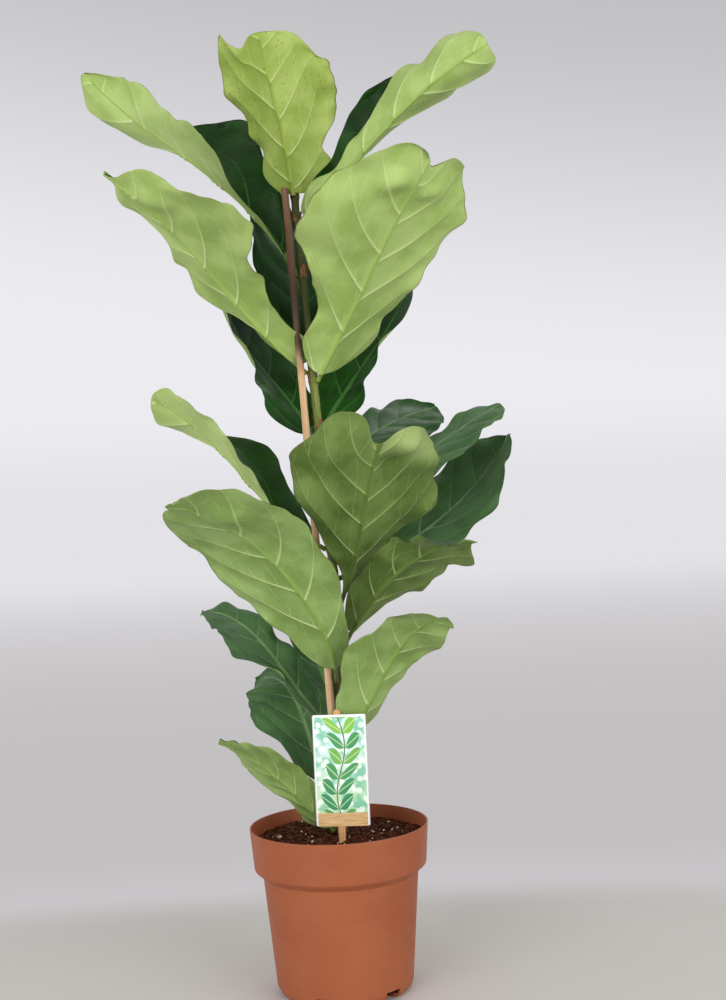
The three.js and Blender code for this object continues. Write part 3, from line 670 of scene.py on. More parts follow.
def pot_profile():
    """The pot's wall turned about Z: out along the underside with its pressed ring, round the
    foot by a quarter of an ellipse, up the outside over the body, the step and the collar, over
    the lip, and down the inside. A drain notch cuts through one stretch of the outside and one
    of the inside, which have as many points as each other; where those begin and end is said
    too."""
    inner, outer, depth = POT["groove"]
    collar_low = POT["height"] - POT["collar"]
    body_top = collar_low - POT["step"]
    wall, base, high = POT["wall"], POT["floor"] + depth, DRAIN["height"]
    under = rounded([
        (2, 0, 0), (inner, 0, 0.8), (inner + POT["slope"], depth, 0.8),
        (outer - POT["slope"], depth, 0.8), (outer, 0, 0.8), (DRAIN["inner"], 0, 0),
    ])
    turn = np.linspace(0, math.acos(1 - high / POT["foot_height"]), 9)
    foot = np.column_stack([
        POT["foot"] + (POT["body_foot"] - POT["foot"]) * np.sin(turn),
        POT["foot_height"] * (1 - np.cos(turn)),
    ])
    outside = np.concatenate([np.linspace((DRAIN["inner"], 0), foot[0], 4)[:-1], foot])
    heel, knee = (POT["inner_foot"], base), (POT["body_foot"] - wall, POT["foot_height"])
    inside_top = (between(heel, knee, high), high)
    share = np.linspace(0, 1, len(outside))
    inside = np.column_stack([
        np.interp(share, [0, 0.4, 1], values)
        for values in zip(inside_top, heel, (DRAIN["inner"], base))
    ])
    up_and_down = rounded([
        (*outside[-1], 0), (POT["body_foot"], POT["foot_height"], 0.7),
        (POT["body_top"], body_top, 0.9), (POT["collar_foot"], collar_low, 1.4),
        (POT["rim"], POT["height"], 0.7), (POT["rim"] - wall, POT["height"], 0.7),
        (POT["collar_foot"] - wall, collar_low + 1, 1.4), (POT["body_top"] - wall, body_top, 0.9),
        (*knee, 0.7), (*inside_top, 0),
    ])
    stretches = [under[:-1], outside, up_and_down[1:-1], inside, [(2, base)]]
    ends = np.cumsum([len(points) for points in stretches])
    return np.concatenate(stretches), (ends[0], ends[1] - 1), (ends[2], ends[3] - 1)


def pot_piece():
    """The pot as its profile turned about Z, at even angles apart from columns set on the sides of
    the drain notches. The faces of a notch are left out of both walls, and four strips between
    the two walls line it."""
    profile, outside, inside = pot_profile()
    half = math.asin(DRAIN["width"] / 2 / POT["body_foot"])
    turn = 2 * math.pi / DRAIN["count"]
    over, apart = 10, 38
    one = np.concatenate([
        np.linspace(-half, half, over, endpoint=False),
        np.linspace(half, turn - half, apart, endpoint=False),
    ])
    angles = np.concatenate([one + turn * i for i in range(DRAIN["count"])])
    angles += math.radians(DRAIN["first"])
    columns = len(angles)
    rings = np.stack([
        profile[:, :1] * np.cos(angles), profile[:, :1] * np.sin(angles),
        np.repeat(profile[:, 1:], columns, 1),
    ], -1)
    middle = [0, 0, profile[0, 1]]
    points, quads, fans = closed_skin(rings, middle, [0, 0, profile[-1, 1]])
    row, column = np.divmod(np.arange(len(quads)), columns)
    in_slot = column % (over + apart) < over
    in_wall = (row >= outside[0]) & (row < outside[1]) | (row >= inside[0]) & (row < inside[1])
    lining = []
    rise = np.arange(outside[1] - outside[0])
    for i in range(DRAIN["count"]):
        first = i * (over + apart)
        across = first + np.arange(over)
        for out_row, in_row, side in ((outside[0], inside[1], 1), (outside[1], inside[0], -1)):
            near, far = out_row * columns, in_row * columns
            strip = np.stack([near + across, near + across + 1, far + across + 1, far + across], -1)
            lining.append(strip[:, ::side])
        for at, side in ((first, 1), (first + over, -1)):
            out_low, in_low = outside[0] + rise, inside[1] - rise
            strip = np.stack([out_low, in_low, in_low - 1, out_low + 1], -1) * columns + at
            lining.append(strip[:, ::side])
    quads = np.concatenate([quads[~(in_slot & in_wall)], *lining])
    piece = surface("nursery_pot", points, quads, fans, [pot_plastic()], sharp=40)
    return place(piece, "terracotta_plastic", "pot")


def pot_plastic():
    """Injection-moulded polypropylene in terracotta brown: satin and slightly cloudy, with the
    faint orange peel of the mould and dust from the potting mix near the lip."""
    material, add = new_material("moulded_terracotta_polypropylene")
    spot = add("TexCoord", out="Object")
    height = add("SeparateXYZ", spot, out="Z")
    lip = add("MapRange", height, 0.12, POT["height"] * MM, 0.15, 0.8, **SMOOTH)
    dust = add("Math", patches(add, spot, 1.3, 2.0, 0.66, 0.72, 0.0, 0.5), lip, **TIMES)
    darker = patches(add, spot, 14, 4.0, 0.45, 0.75, 0.0, 0.3)
    cloud = patches(add, spot, 60, 3.0, 0.3, 0.7)
    base = add("Mix", cloud, colour("#99502D"), colour("#9F5733"), **RGBA)
    for share, code in ((darker, "#904A29"), (dust, "#7A4630")):
        base = add("Mix", share, base, colour(code), **RGBA)
    rough = patches(add, spot, 22, 4.0, 0.3, 0.7, 0.45, 0.58)
    peel = add("TexNoise", spot, per(1.1), 2.0)
    peel = add("Math", add("TexNoise", spot, per(9), 2.0), 1.5, peel, **TIMES_PLUS)
    return finished(material, add, base, rough, peel, 0.12, 0.4, IOR=1.49)


# ---- potting mix --------------------------------------------------------------------------------


def lattice(x, y, size, rng):
    """Smooth random heights between -1 and 1: random values at the corners of square cells of
    that size, blended across each cell by smoothstep weights."""
    table = rng.uniform(-1, 1, (128, 128))
    gx, gy = x / size + 64, y / size + 64
    i, j = np.floor(gx).astype(int), np.floor(gy).astype(int)
    s, t = smoothstep(0, 1, gx - i), smoothstep(0, 1, gy - j)
    near = table[i, j] * (1 - s) + table[i + 1, j] * s
    far = table[i, j + 1] * (1 - s) + table[i + 1, j + 1] * s
    return near * (1 - t) + far * t


def soil_height(x, y):
    """Height of the mix: a low mound, a parabola of the distance from the middle, with slow random
    swells, under crumbs of three sizes, each a half minus the size of a random height, so that
    they have sharp crests."""
    rng = np.random.default_rng(7)
    reach = np.hypot(x, y) / POT["rim"]
    height = SOIL["at_wall"] + SOIL["mound"] * (1 - reach**2) + 1.5 * lattice(x, y, 27, rng)
    for size, rise in ((11, 2.2), (5.5, 1.8), (2.8, 1.2)):
        height = height + rise * (0.5 - np.abs(lattice(x, y, size, rng)))
    return height


def soil_piece():
    """The mix as one solid. Its top is a square grid (a, b) drawn out to a disc by
    x = a sqrt(1 - b^2/2), y = b sqrt(1 - a^2/2), raised to the mix's height; from its rim the
    side goes down along the inside of the pot to a flat bottom."""
    collar_low = POT["height"] - POT["collar"]
    inset = POT["wall"] + GAP
    top = between((POT["collar_foot"], collar_low), (POT["rim"], POT["height"]), SOIL["at_wall"])
    cells = 170
    a, b = np.meshgrid(np.linspace(-1, 1, cells + 1), np.linspace(-1, 1, cells + 1), indexing="ij")
    x = a * np.sqrt(1 - b * b / 2) * (top - inset)
    y = b * np.sqrt(1 - a * a / 2) * (top - inset)
    grid = np.stack([x, y, soil_height(x, y)], -1).reshape(-1, 3)
    i, j = np.meshgrid(np.arange(cells), np.arange(cells), indexing="ij")
    at = i * (cells + 1) + j
    quads = np.stack([at, at + cells + 1, at + cells + 2, at + 1], -1).reshape(-1, 4)
    k = np.arange(cells)
    row = cells + 1
    rim = np.concatenate([k * row, cells * row + k, (cells - k) * row + cells, cells - k])
    edge = grid[rim, :2] / np.linalg.norm(grid[rim, :2], axis=1)[:, None]
    body_top = collar_low - POT["step"]
    levels = (
        (POT["collar_foot"] - inset, collar_low + 2), (POT["body_top"] - inset, body_top),
        (POT["body_foot"] - inset - 0.5, POT["foot_height"] + 1),
        (POT["inner_foot"] - inset - 1, POT["floor"] + POT["groove"][2] + GAP),
    )
    count = len(rim)
    side = [np.column_stack([edge * reach, np.full(count, height)]) for reach, height in levels]
    points = np.concatenate([grid, *side, [[0, 0, levels[-1][1]]]])
    rows = np.concatenate([rim[None], len(grid) + np.arange(len(side) * count).reshape(-1, count)])
    after = np.roll(rows, -1, 1)
    walls = np.stack([rows[:-1], rows[1:], after[1:], after[:-1]], -1).reshape(-1, 4)
    bottom = np.stack([after[-1], rows[-1], np.full(count, len(points) - 1)], -1)
    piece = surface("potting_mix", points, np.concatenate([quads, walls]), bottom, [peat_mix()])
    return place(piece, "potting_mix", "soil")


def scatter(name, count, sizes, material, rng, sink=0.3):
    """Many small lumps on the mix, as one mesh. A lump is a ball of 4 rings of 6 points and two
    poles, each point pushed in by up to a quarter or out by up to a fifth, drawn to three random
    half sizes, tipped a little and turned at random about Z. Sink is the share of its height that
    lies in the mix."""
    lat = np.linspace(-math.pi / 2, math.pi / 2, 6)[1:-1]
    lon = np.arange(6) * math.pi / 3
    ball = np.stack([
        np.cos(lat)[:, None] * np.cos(lon), np.cos(lat)[:, None] * np.sin(lon),
        np.repeat(np.sin(lat)[:, None], 6, 1),
    ], -1)
    points, quads, fans = closed_skin(ball, [0, 0, -1], [0, 0, 1])
    reach = np.sqrt(rng.uniform(0, 1, count)) * (POT["rim"] - 8)
    angle = rng.uniform(0, 2 * math.pi, count)
    x, y = reach * np.cos(angle), reach * np.sin(angle)
    half = np.stack([rng.uniform(low, high, count) / 2 for low, high in sizes], -1)
    turn, tip = rng.uniform(0, 2 * math.pi, count), rng.uniform(-0.4, 0.4, count)
    lumps = points * rng.uniform(0.75, 1.2, (count, len(points), 1)) * half[:, None]
    tipped = lumps[..., 2] + lumps[..., 0] * np.sin(tip)[:, None]
    cos_t, sin_t = np.cos(turn)[:, None], np.sin(turn)[:, None]
    height = soil_height(x, y) + half[:, 2] * (1 - 2 * sink)
    placed = np.stack([
        lumps[..., 0] * cos_t - lumps[..., 1] * sin_t + x[:, None],
        lumps[..., 0] * sin_t + lumps[..., 1] * cos_t + y[:, None],
        tipped + height[:, None],
    ], -1)
    shift = (np.arange(count) * len(points))[:, None, None]
    piece = surface(name, placed.reshape(-1, 3), (quads + shift).reshape(-1, 4),
                    (fans + shift).reshape(-1, 3), [material])
    return place(piece, "potting_mix")


def peat_mix():
    """Peat with fine bark: matt, fibrous and dark, paler where its crumbs are dry."""
    material, add = new_material("damp_peat_and_bark")
    spot = add("TexCoord", out="Object")
    crumbs = patches(add, spot, 6, 5.0, 0.35, 0.65)
    base = add("Mix", crumbs, colour("#2B130A"), colour("#552A17"), **RGBA)
    dry = patches(add, spot, 1.6, 4.0, 0.58, 0.76, 0.0, 0.6)
    base = add("Mix", dry, base, colour("#7A452A"), **RGBA)
    height = add("TexNoise", spot, per(2.2), 5.0, 0.7)
    height = add("Math", add("TexNoise", spot, per(0.8), 3.0), 0.5, height, **TIMES_PLUS)
    return finished(material, add, base, 0.95, height, 1.2, 0.06)


def lump_material(name, pale, dark, size_mm, rough):
    """A dry crumb of one stuff, cloudy from one shade to another over a few millimetres."""
    material, add = new_material(name)
    spot = add("TexCoord", out="Object")
    cloud = patches(add, spot, size_mm, 4.0, 0.35, 0.65)
    base = add("Mix", cloud, colour(pale), colour(dark), **RGBA)
    pits = add("TexNoise", spot, per(size_mm / 3), 3.0)
    return finished(material, add, base, rough, pits, 0.3, 0.2)


def mix_pieces():
    """The mix and what lies on it: expanded perlite, white and pitted; chips of bark, reddish
    brown; and pale coir threads."""
    soil_piece()
    rng = np.random.default_rng(11)
    white = lump_material("expanded_perlite", "#E9DFD2", "#B9A892", 1.5, 0.9)
    brown = lump_material("pine_bark_chips", "#6B4028", "#3A2116", 3, 0.85)
    straw = lump_material("coir_threads", "#A07A52", "#6E4C30", 3, 0.8)
    scatter("perlite_grains", 60, ((0.8, 2.6), (0.8, 2.2), (0.7, 1.8)), white, rng, 0.5)
    scatter("perlite_lumps", 30, ((2.4, 4.6), (2.0, 3.8), (1.4, 2.8)), white, rng, 0.45)
    scatter("bark_chips", 500, ((2.5, 9), (1.2, 4), (0.8, 2.2)), brown, rng, 0.2)
    scatter("coir_fibres", 90, ((6, 18), (0.3, 0.6), (0.3, 0.6)), straw, rng, 0.0)


# ---- stem and cane ------------------------------------------------------------------------------


def tube(centres, radii, columns):
    """Rings of points round a line that runs upwards: each ring lies in the plane square to the
    line, starts from the direction in it nearest +X, and has one radius or one for each point."""
    along = np.gradient(centres, axis=0)
    along /= np.linalg.norm(along, axis=1)[:, None]
    across = np.array([1.0, 0, 0]) - along * along[:, :1]
    across /= np.linalg.norm(across, axis=1)[:, None]
    away = np.cross(along, across)
    angle = np.arange(columns) * 2 * math.pi / columns
    radii = np.broadcast_to(np.asarray(radii).reshape(len(centres), -1), (len(centres), columns))
    return (
        centres[:, None] + across[:, None] * (radii * np.cos(angle))[..., None]
        + away[:, None] * (radii * np.sin(angle))[..., None]
    )


def stem_piece():
    """The stem from inside the mix to the bud. Its radius tapers evenly, swells by
    1.1 exp(-(d / 3.5)^2) at a distance d from each leaf's joint and narrows in a ring scar just
    above it; low ridges wind about it. The bud is a sheath with a slight belly, whose radius
    falls as 1 - s^1.7 to its point."""
    low, high = STEM["path"][0][2], STEM["path"][-1][2]
    columns = 28
    height = np.linspace(low, high, 560)
    joints = np.array([shape["node"] for shape in LEAVES])
    off = height[:, None] - joints
    radius = stem_radius(height) + (1.1 * np.exp(-((off / 3.5) ** 2))).sum(1)
    radius -= (0.5 * np.exp(-(((off - 4.5) / 0.7) ** 2))).sum(1)
    angle = np.arange(columns) * 2 * math.pi / columns
    ridges = 0.18 * np.sin(5 * angle + height[:, None] / 40)
    ridges = ridges + 0.1 * np.sin(9 * angle - height[:, None] / 23)
    s = np.linspace(0, 1, 40)[1:-1]
    line = stem_centre(height)
    end = line[-1] - line[-2]
    end /= np.linalg.norm(end)
    bud = line[-1] + end * (s * STEM["bud"])[:, None]
    bud_radius = STEM["top_radius"] * (1 - s**1.7) * (1 + 0.12 * np.sin(math.pi * s))
    centres = np.concatenate([line, bud])
    radii = np.concatenate([radius[:, None] + ridges, np.repeat(bud_radius[:, None], columns, 1)])
    rings = tube(centres, radii, columns)
    points, quads, fans = closed_skin(rings, line[0], line[-1] + end * STEM["bud"])
    return place(surface("stem_and_bud", points, quads, fans, [young_bark()]), "stem", "stem")


def young_bark():
    """Young bark: brown near the mix, green higher up and painted darker among the top leaves, as
    shade that they cast, with fine brown cracks drawn out along it and pale raised pores."""
    material, add = new_material("young_fig_bark")
    spot = add("TexCoord", out="Object")
    height = add("SeparateXYZ", spot, out="Z")
    age = add("Math", add("TexNoise", spot, per(30), 2.0), 0.12, height, **TIMES_PLUS)
    age = add("MapRange", age, 0.29, 0.61, **SMOOTH)
    # painted shade: the stem turns dark green among the top leaves, where they shade it
    painted_leaf_shade = add("MapRange", height, 0.64, 0.69, 0.0, 0.75, **SMOOTH)
    streaks = add("TexNoise", add("Mapping", spot, named={"Scale": (1, 1, 0.2)}), per(2.5), 5.0)
    cracks = add("MapRange", streaks, 0.45, 0.7, 0.0, 0.6, **SMOOTH)
    pores = patches(add, spot, 1.1, 1.0, 0.68, 0.74, 0.0, 0.6)
    base = add("Mix", age, colour("#5B4A30"), colour("#7D8A44"), **RGBA)
    for share, code in ((painted_leaf_shade, "#3A421F"), (cracks, "#4A3A26"), (pores, "#B3A37C")):
        base = add("Mix", share, base, colour(code), **RGBA)
    return finished(material, add, base, 0.7, add("Math", streaks, pores, **PLUS), 0.5, 0.3)


def sheath_piece():
    """The dry sheaths left at the leaf joints, as one mesh: at each joint two pointed scales clasp
    the stem. At share s of its length and place v across, a scale lies on a circle about the
    stem, v times its half width round it; the half width falls as (1 - s)^0.8 and the circle
    widens with s^2, so that its point stands off."""
    rng = np.random.default_rng(23)
    v, side = ring_columns(12)
    s = np.linspace(0, 0.97, 12)[:, None]
    all_points, all_quads, all_fans, start = [], [], [], 0
    for shape in LEAVES:
        for turn in (110, -110):
            length, wide = rng.uniform(9, 17), rng.uniform(3.5, 5.5)
            middle = math.radians(shape["heading"][0] + turn + rng.uniform(-25, 25))
            base = shape["node"] + rng.uniform(-1, 3)
            height = base + s * length
            standing = stem_radius(base) + 0.9 + rng.uniform(1.5, 4.5) * s**2
            reach = standing + 0.2 * side * np.sqrt(1 - np.abs(v) ** 6)
            angle = middle + v * wide * (1 - s) ** 0.8 / stem_radius(base)
            centre = stem_centre(base)
            rings = np.stack([
                centre[0] + reach * np.cos(angle), centre[1] + reach * np.sin(angle),
                height + 0.5 * np.sin(9 * v + turn) * s,
            ], -1)
            points, quads, fans = closed_skin(rings, rings[0].mean(0), rings[-1].mean(0))
            all_points.append(points)
            all_quads.append(quads[:, ::-1] + start)
            all_fans.append(fans[:, ::-1] + start)
            start += len(points)
    piece = surface("leaf_joint_sheaths", np.concatenate(all_points), np.concatenate(all_quads),
                    np.concatenate(all_fans), [dry_sheath()])
    return place(piece, "stem")


def dry_sheath():
    """A dried leaf sheath: papery, reddish brown, with lengthwise veins."""
    material, add = new_material("dry_papery_sheath")
    drawn = add("Mapping", add("TexCoord", out="Object"), named={"Scale": (1, 1, 0.15)})
    veins = add("TexNoise", drawn, per(1.5), 4.0)
    share = add("MapRange", veins, 0.35, 0.65, **SMOOTH)
    base = add("Mix", share, colour("#6E4A2A"), colour("#A37B4C"), **RGBA)
    return finished(material, add, base, 0.75, veins, 0.3, 0.25)


def cane_piece():
    """The cane: a straight rod whose radius wanders by up to a fifth of a millimetre, with a
    rounded edge at both cut ends."""
    foot, top = np.array(CANE["foot"], float), np.array(CANE["top"], float)
    total = np.linalg.norm(top - foot)
    ends = np.array([0, 0.15, 0.4, 0.8])
    run = np.concatenate([ends, np.linspace(2, total - 2, 150), total - ends[::-1]])
    centres = foot + (top - foot) * (run / total)[:, None]
    close = np.minimum(run, total - run)
    radius = CANE["radius"] - 0.6 * np.clip(1 - close / 0.8, 0, 1) ** 2
    radius = radius + 0.12 * np.sin(run / 37) + 0.08 * np.sin(run / 11)
    points, quads, fans = closed_skin(tube(centres, radius, 32), foot, top)
    # from 0.65 m up the cane is painted dark brown, easing to reddish brown: painted shade of the
    # leaves above it
    stuff = wood("peeled_bamboo_cane", "#E2C29A", "#CDA478", "#A2774A", 2.2, painted_shade_from=0.65)
    piece = surface("cane_rod", points, quads, fans, [stuff], sharp=50)
    return place(piece, "bamboo", "cane")


def wood(name, pale, middle, dark, width_mm, painted_shade_from=2.0):
    """Dry pale wood, planed or peeled: matt, with fine dark fibres that run up its length and darker
    stretches. From the height, in metres, where painted shade of the leaves above starts, it turns
    dark brown, and reddish brown further up; unless that is given, it lies above the plant."""
    material, add = new_material(name)
    spot = add("TexCoord", out="Object")
    drawn = add("Mapping", spot, named={"Scale": (1, 1, 0.03)})
    fibres = add("TexNoise", drawn, per(width_mm), 5.0)
    fine = add("TexNoise", drawn, per(width_mm / 4), 3.0)
    share = add("MapRange", fibres, 0.3, 0.7, **SMOOTH)
    base = add("Mix", share, colour(pale), colour(middle), **RGBA)
    dark_fibres = add("MapRange", fine, 0.58, 0.75, 0.0, 0.5, **SMOOTH)
    for share in (dark_fibres, patches(add, spot, 30, 3.0, 0.48, 0.72, 0.0, 0.6)):
        base = add("Mix", share, base, colour(dark), **RGBA)
    height = add("SeparateXYZ", spot, out="Z")
    # painted shade: dark brown from that height, reddish brown further up
    painted_shade = add("MapRange", height, painted_shade_from, painted_shade_from + 0.04, 0.0, 0.88, **SMOOTH)
    higher = add("MapRange", height, painted_shade_from + 0.07, painted_shade_from + 0.13, **SMOOTH)
    painted_shade_browns = add("Mix", higher, colour("#2B1912"), colour("#6E4936"), **RGBA)
    base = add("Mix", painted_shade, base, painted_shade_browns, **RGBA)
    return finished(material, add, base, 0.62, add("Math", fibres, fine, **PLUS), 0.25, 0.35)


# ---- label --------------------------------------------------------------------------------------


def strip(height, half, thickness, cells):
    """An upright flat piece as rings of evenly spaced points from its foot up. At each height,
    place v lies at v times the half width, and the two faces stand half the thickness in front
    and behind, drawn together at the edge as the square root of 1 - v^14."""
    v, side = ring_columns(cells)
    v = np.sign(v) * np.abs(v) ** (1 / CROWDING)
    x = half[:, None] * v
    y = -side * thickness / 2 * np.sqrt(1 - np.clip(np.abs(v), 0, 1) ** 14)
    return np.stack(np.broadcast_arrays(x, y, height[:, None]), -1)


def stand_label(rings, bow=0.0, back=0.0, offset=0.0):
    """Puts an upright piece in the label's place: moved aside by the offset and back, bowed by that
    much at 30 mm from the middle, turned about Z by the yaw and moved to where the label stands."""
    x, y, z = rings[..., 0] + offset, rings[..., 1] + back, rings[..., 2]
    y = y + bow * (x / 30) ** 2
    yaw = math.radians(LABEL["yaw"])
    return np.stack([
        x * math.cos(yaw) - y * math.sin(yaw) + LABEL["place"][0],
        x * math.sin(yaw) + y * math.cos(yaw) + LABEL["place"][1], z,
    ], -1)


def card_piece():
    """The label's card: a thin sheet with round corners, half width w - r + sqrt(r^2 - d^2) within
    the corner radius r of its ends, d being the height past where the corner starts."""
    low = LABEL["middle"] - LABEL["height"] / 2
    high = low + LABEL["height"]
    r = LABEL["corner"]
    corner = r * (1 - np.cos(np.linspace(0, math.pi / 2, 7)))[:-1]
    height = np.concatenate([low + corner, np.linspace(low + r, high - r, 70), high - corner[::-1]])
    past = np.maximum(np.maximum(low + r - height, height - (high - r)), 0)
    half = LABEL["width"] / 2 - r + np.sqrt(np.maximum(r * r - past**2, 0.01))
    flat = strip(height, half, LABEL["thickness"], 40)
    rings = stand_label(flat, bow=0.8)
    points, quads, fans = closed_skin(rings, rings[0].mean(0), rings[-1].mean(0))
    columns = rings.shape[1]
    front = np.arange(len(quads)) % columns >= columns // 2
    looks = np.concatenate([np.where(front, 0, 1), np.ones(len(fans), int)])
    spread = lambda values: np.append(values.ravel(), [0.0, 0.0])
    attributes = {"card_x": spread(flat[..., 0]), "card_z": spread(flat[..., 2] - LABEL["middle"])}
    sides = [label_print(), plain_card()]
    piece = surface("label_print", points, quads, fans, sides, looks, attributes)
    return place(piece, "label_card", "label_card")


def stick_piece():
    """The label's stick: flat, with a half-round top and a foot that tapers to a point."""
    foot, top, w = STICK["foot"], STICK["top"], STICK["width"] / 2
    arc = top - w + w * np.sin(np.linspace(0, math.pi / 2, 12))
    height = np.concatenate([np.linspace(foot + 0.3, top - w, 90)[:-1], arc[:-1]])
    past = np.maximum(height - (top - w), 0)
    half = w * np.clip((height - foot) / STICK["taper"], 0, 1)
    half = np.minimum(half, np.sqrt(np.maximum(w * w - past**2, 0.01)))
    behind = (LABEL["thickness"] + STICK["thickness"]) / 2 + GAP
    flat = strip(height, half, STICK["thickness"], 16)
    rings = stand_label(flat, back=behind, offset=STICK["offset"])
    points, quads, fans = closed_skin(rings, rings[0].mean(0), rings[-1].mean(0))
    stake = wood("planed_birch_stick", "#D8AC76", "#C3935B", "#9C6E3E", 1.6)
    return place(surface("label_stake", points, quads, fans, [stake]), "label_stick", "label_stick")


def label_print():
    """Printed polypropylene card, semi-gloss: a white border, a leafy sprig in greens over soft
    round lights on a pale teal ground, and a tan band with a wood pattern along the bottom."""
    material, add = new_material("printed_label_card")
    x = add("Attribute", out="Fac", attribute_name="card_x")
    z = add("Attribute", out="Fac", attribute_name="card_z")
    spot = add("CombineXYZ", x, z)  # in millimetres from the card's middle

    upward = add("MapRange", z, -50, 50, **SMOOTH)
    ground = add("Mix", upward, colour("#BFE0B0"), colour("#D6EEF0"), **RGBA)
    blotch = add("TexNoise", spot, 1 / 14, 2.0)
    teal = add("MapRange", blotch, 0.42, 0.62, 0.0, 0.85, **SMOOTH)
    ground = add("Mix", teal, ground, colour("#6FBF9A"), **RGBA)
    lights = add("TexVoronoi", spot, 1 / 9, voronoi_dimensions="2D")
    lights = add("MapRange", lights, 0.3, 0.36, 0.75, 0.0, **SMOOTH)
    ground = add("Mix", lights, ground, colour("#F3FAF2"), **RGBA)

    # pairs of leaves up a swaying sprig, each leaf a lens that slants up as it goes out
    pair_step, half_leaf, sway_reach = 16, 9, 5
    sway = add("Math", add("Math", z, 0.06, **TIMES), operation="SINE")
    away = add("Math", add("Math", sway, -sway_reach, x, **TIMES_PLUS), operation="ABSOLUTE")
    pair = add("Math", add("Math", away, -0.8, z, **TIMES_PLUS), 1 / pair_step, **TIMES)
    off = add("Math", add("Math", pair, operation="FRACT"), 2.2, -1.1, **TIMES_PLUS)
    off = add("Math", off, operation="ABSOLUTE")
    along = add("Math", away, 1 / half_leaf, -1, **TIMES_PLUS)
    lens = add("Math", 1, add("Math", along, along, **TIMES), operation="SUBTRACT")
    leafy = add("MapRange", add("Math", lens, off, operation="SUBTRACT"), 0.0, 0.12, **SMOOTH)
    shade = add("TexWhiteNoise", add("Math", pair, operation="FLOOR"), noise_dimensions="1D")
    green = add("Mix", shade, colour("#1F8A5B"), colour("#8CC63F"), **RGBA)
    rib = add("MapRange", off, 0.04, 0.12, 0.7, 0.0, **SMOOTH)
    green = add("Mix", rib, green, colour("#DDF0B8"), **RGBA)
    ground = add("Mix", leafy, ground, green, **RGBA)
    twig = add("MapRange", away, 0.5, 0.9, 1.0, 0.0, **SMOOTH)
    ground = add("Mix", twig, ground, colour("#5C7F3A"), **RGBA)

    # the wooden band up to its top edge, and the white border outside the picture's edges
    band_top, side_edge, top_edge = -44.6, 26.2, 56.0
    fibres = add("TexNoise", add("CombineXYZ", add("Math", x, 0.06, **TIMES), z), 0.9, 4.0)
    fibres = add("MapRange", fibres, 0.35, 0.65, **SMOOTH)
    band = add("Mix", fibres, colour("#DDBB8A"), colour("#C49A62"), **RGBA)
    low = add("MapRange", z, band_top, band_top + 0.4, 1.0, 0.0, **SMOOTH)
    ground = add("Mix", low, ground, band, **RGBA)
    flank = add("Math", x, operation="ABSOLUTE")
    flank = add("MapRange", flank, side_edge, side_edge + 0.3, **SMOOTH)
    border = add("MapRange", z, top_edge, top_edge + 0.3, **SMOOTH)
    border = add("Math", flank, border, operation="MAXIMUM")
    ground = add("Mix", border, ground, colour("#F4F6F2"), **RGBA)
    coat = {"Coat Weight": 0.3, "Coat Roughness": 0.15}
    return finished(material, add, ground, 0.32, blotch, 0.02, **coat)


def plain_card():
    """The unprinted back and edges of the card: white polypropylene, faintly grained."""
    material, add = new_material("white_card_polypropylene")
    spot = add("TexCoord", out="Object")
    cloud = add("TexNoise", spot, per(12), 3.0)
    base = add("Mix", cloud, colour("#F1F2EE"), colour("#E4E6E1"), **RGBA)
    return finished(material, add, base, 0.4, add("TexNoise", spot, per(1.2), 2.0), 0.03)


# ---- the whole plant ----------------------------------------------------------------------------

pot_piece()
mix_pieces()
stem_piece()
sheath_piece()
cane_piece()
card_piece()
stick_piece()
finishes = leaf_finishes()
for number, shape in enumerate(LEAVES, 1):
    leaf_piece(shape, number, finishes)

# ---- floor, light and camera --------------------------------------------------------------------

HORIZON, WALL, SKY = "#E3E2E6", "#ECEBF0", "#C0BFC2"
LIGHTS = (  # name, place and target in metres, side in metres and power in watts
    ("key", (-1.5, -2.2, 0.9), (0, 0, 0.6), 2.0, 42),
    ("fill", (1.8, -1.9, 0.8), (0, 0, 0.5), 2.0, 38),
    ("back", (0.6, 1.8, 2.4), (0, 0, 0.6), 1.4, 6),
)
EYE = dict(place=(0.0414, -1.482, 0.517), lens=50, sensor=36, turn=2.6)  # metres, mm and degrees


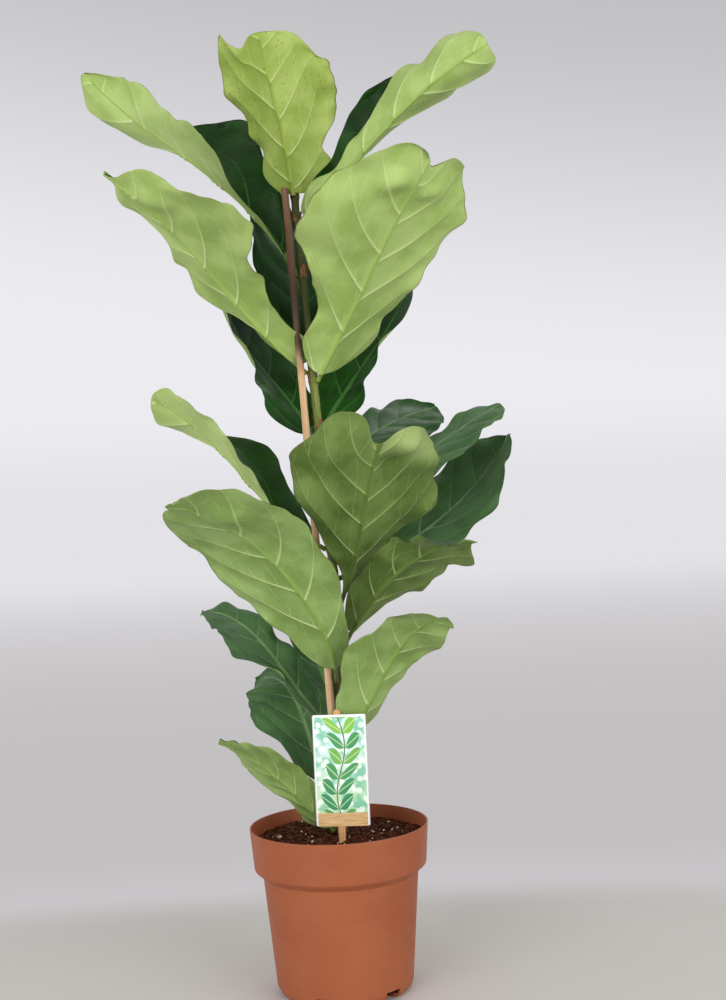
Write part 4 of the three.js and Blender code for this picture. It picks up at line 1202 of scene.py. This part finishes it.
def floor():
    """A wide pale floor, lit near the pot, whose shade turns into the backdrop's further away past
    a thin lighter band. The bands run nearly level behind the pot."""
    material, add = new_material("pale_studio_floor")
    spot = add("TexCoord", out="Object")
    drawn = add("Mapping", spot, named={"Scale": (0.35, 1, 1)})
    far = add("VectorMath", drawn, operation="LENGTH")
    cloud = add("TexNoise", spot, per(300), 2.0)
    near = add("Mix", cloud, colour("#CFCCC6"), colour("#D6D3CD"), **RGBA)
    near = add("BsdfPrincipled", named={"Base Color": near, "Roughness": 0.7})
    out_there = add("MapRange", far, 0.8, 9.0, **SMOOTH)
    away = add("Mix", out_there, colour("#C2BFC0"), colour(HORIZON), **RGBA)
    band = add("MapRange", far, 0.4, 0.62, 1.0, 0.0, **SMOOTH)
    away = add("Emission", add("Mix", band, away, colour("#C8C5C8"), **RGBA), 1.0)
    fade = add("MapRange", far, 0.27, 0.4, **SMOOTH)
    add("OutputMaterial", add("MixShader", fade, near, away))
    reach, level = 30000, -0.2  # a hair under the pot, so that the two don't touch
    corners = [(x * reach, y * reach, level) for x, y in ((-1, -1), (1, -1), (1, 1), (-1, 1))]
    surface("floor", corners, [[0, 1, 2, 3]], [], [material])


def area_light(name, spot, target, size, power):
    """A square soft light at a spot, in metres, that faces a target."""
    data = bpy.data.lights.new(name, "AREA")
    data.size = size
    data.energy = power
    lamp = bpy.data.objects.new(name, data)
    lamp.location = spot
    aim = Vector(target) - Vector(spot)
    lamp.rotation_euler = aim.to_track_quat("-Z", "Y").to_euler()
    bpy.context.scene.collection.objects.link(lamp)


def studio():
    """Pale surroundings, palest just above the horizon and greyer further up, a large soft light
    from the front left, a slightly weaker one from the front right, both at the plant's height,
    and a faint one from above and behind."""
    world = bpy.data.worlds.new("studio")
    world.use_nodes = True
    world.node_tree.nodes.clear()
    add = functools.partial(add_node, world.node_tree)
    direction = add("TexCoord", out="Generated")
    rise = add("SeparateXYZ", direction, out="Z")
    low = add("MapRange", rise, 0.0, 0.07, **SMOOTH)
    slanting = add("Math", add("SeparateXYZ", direction, out="X"), 0.15, rise, **TIMES_PLUS)
    high = add("MapRange", slanting, 0.1, 0.38, **SMOOTH)
    sky = add("Mix", low, colour(HORIZON), colour(WALL), **RGBA)
    sky = add("Mix", high, sky, colour(SKY), **RGBA)
    add("OutputWorld", add("Background", sky, 1.0))
    bpy.context.scene.world = world
    for light in LIGHTS:
        area_light(*light)
    bpy.context.scene.view_settings.view_transform = "Standard"


def camera():
    """Level, about half way up the plant and one and a half metres in front, turned a little
    clockwise as the photograph is."""
    data = bpy.data.cameras.new("camera")
    data.lens = EYE["lens"]
    data.sensor_width = EYE["sensor"]
    eye = bpy.data.objects.new("camera", data)
    eye.location = EYE["place"]
    eye.rotation_euler = (math.radians(90), math.radians(EYE["turn"]), 0)
    bpy.context.scene.collection.objects.link(eye)
    bpy.context.scene.camera = eye


floor()
studio()
camera()
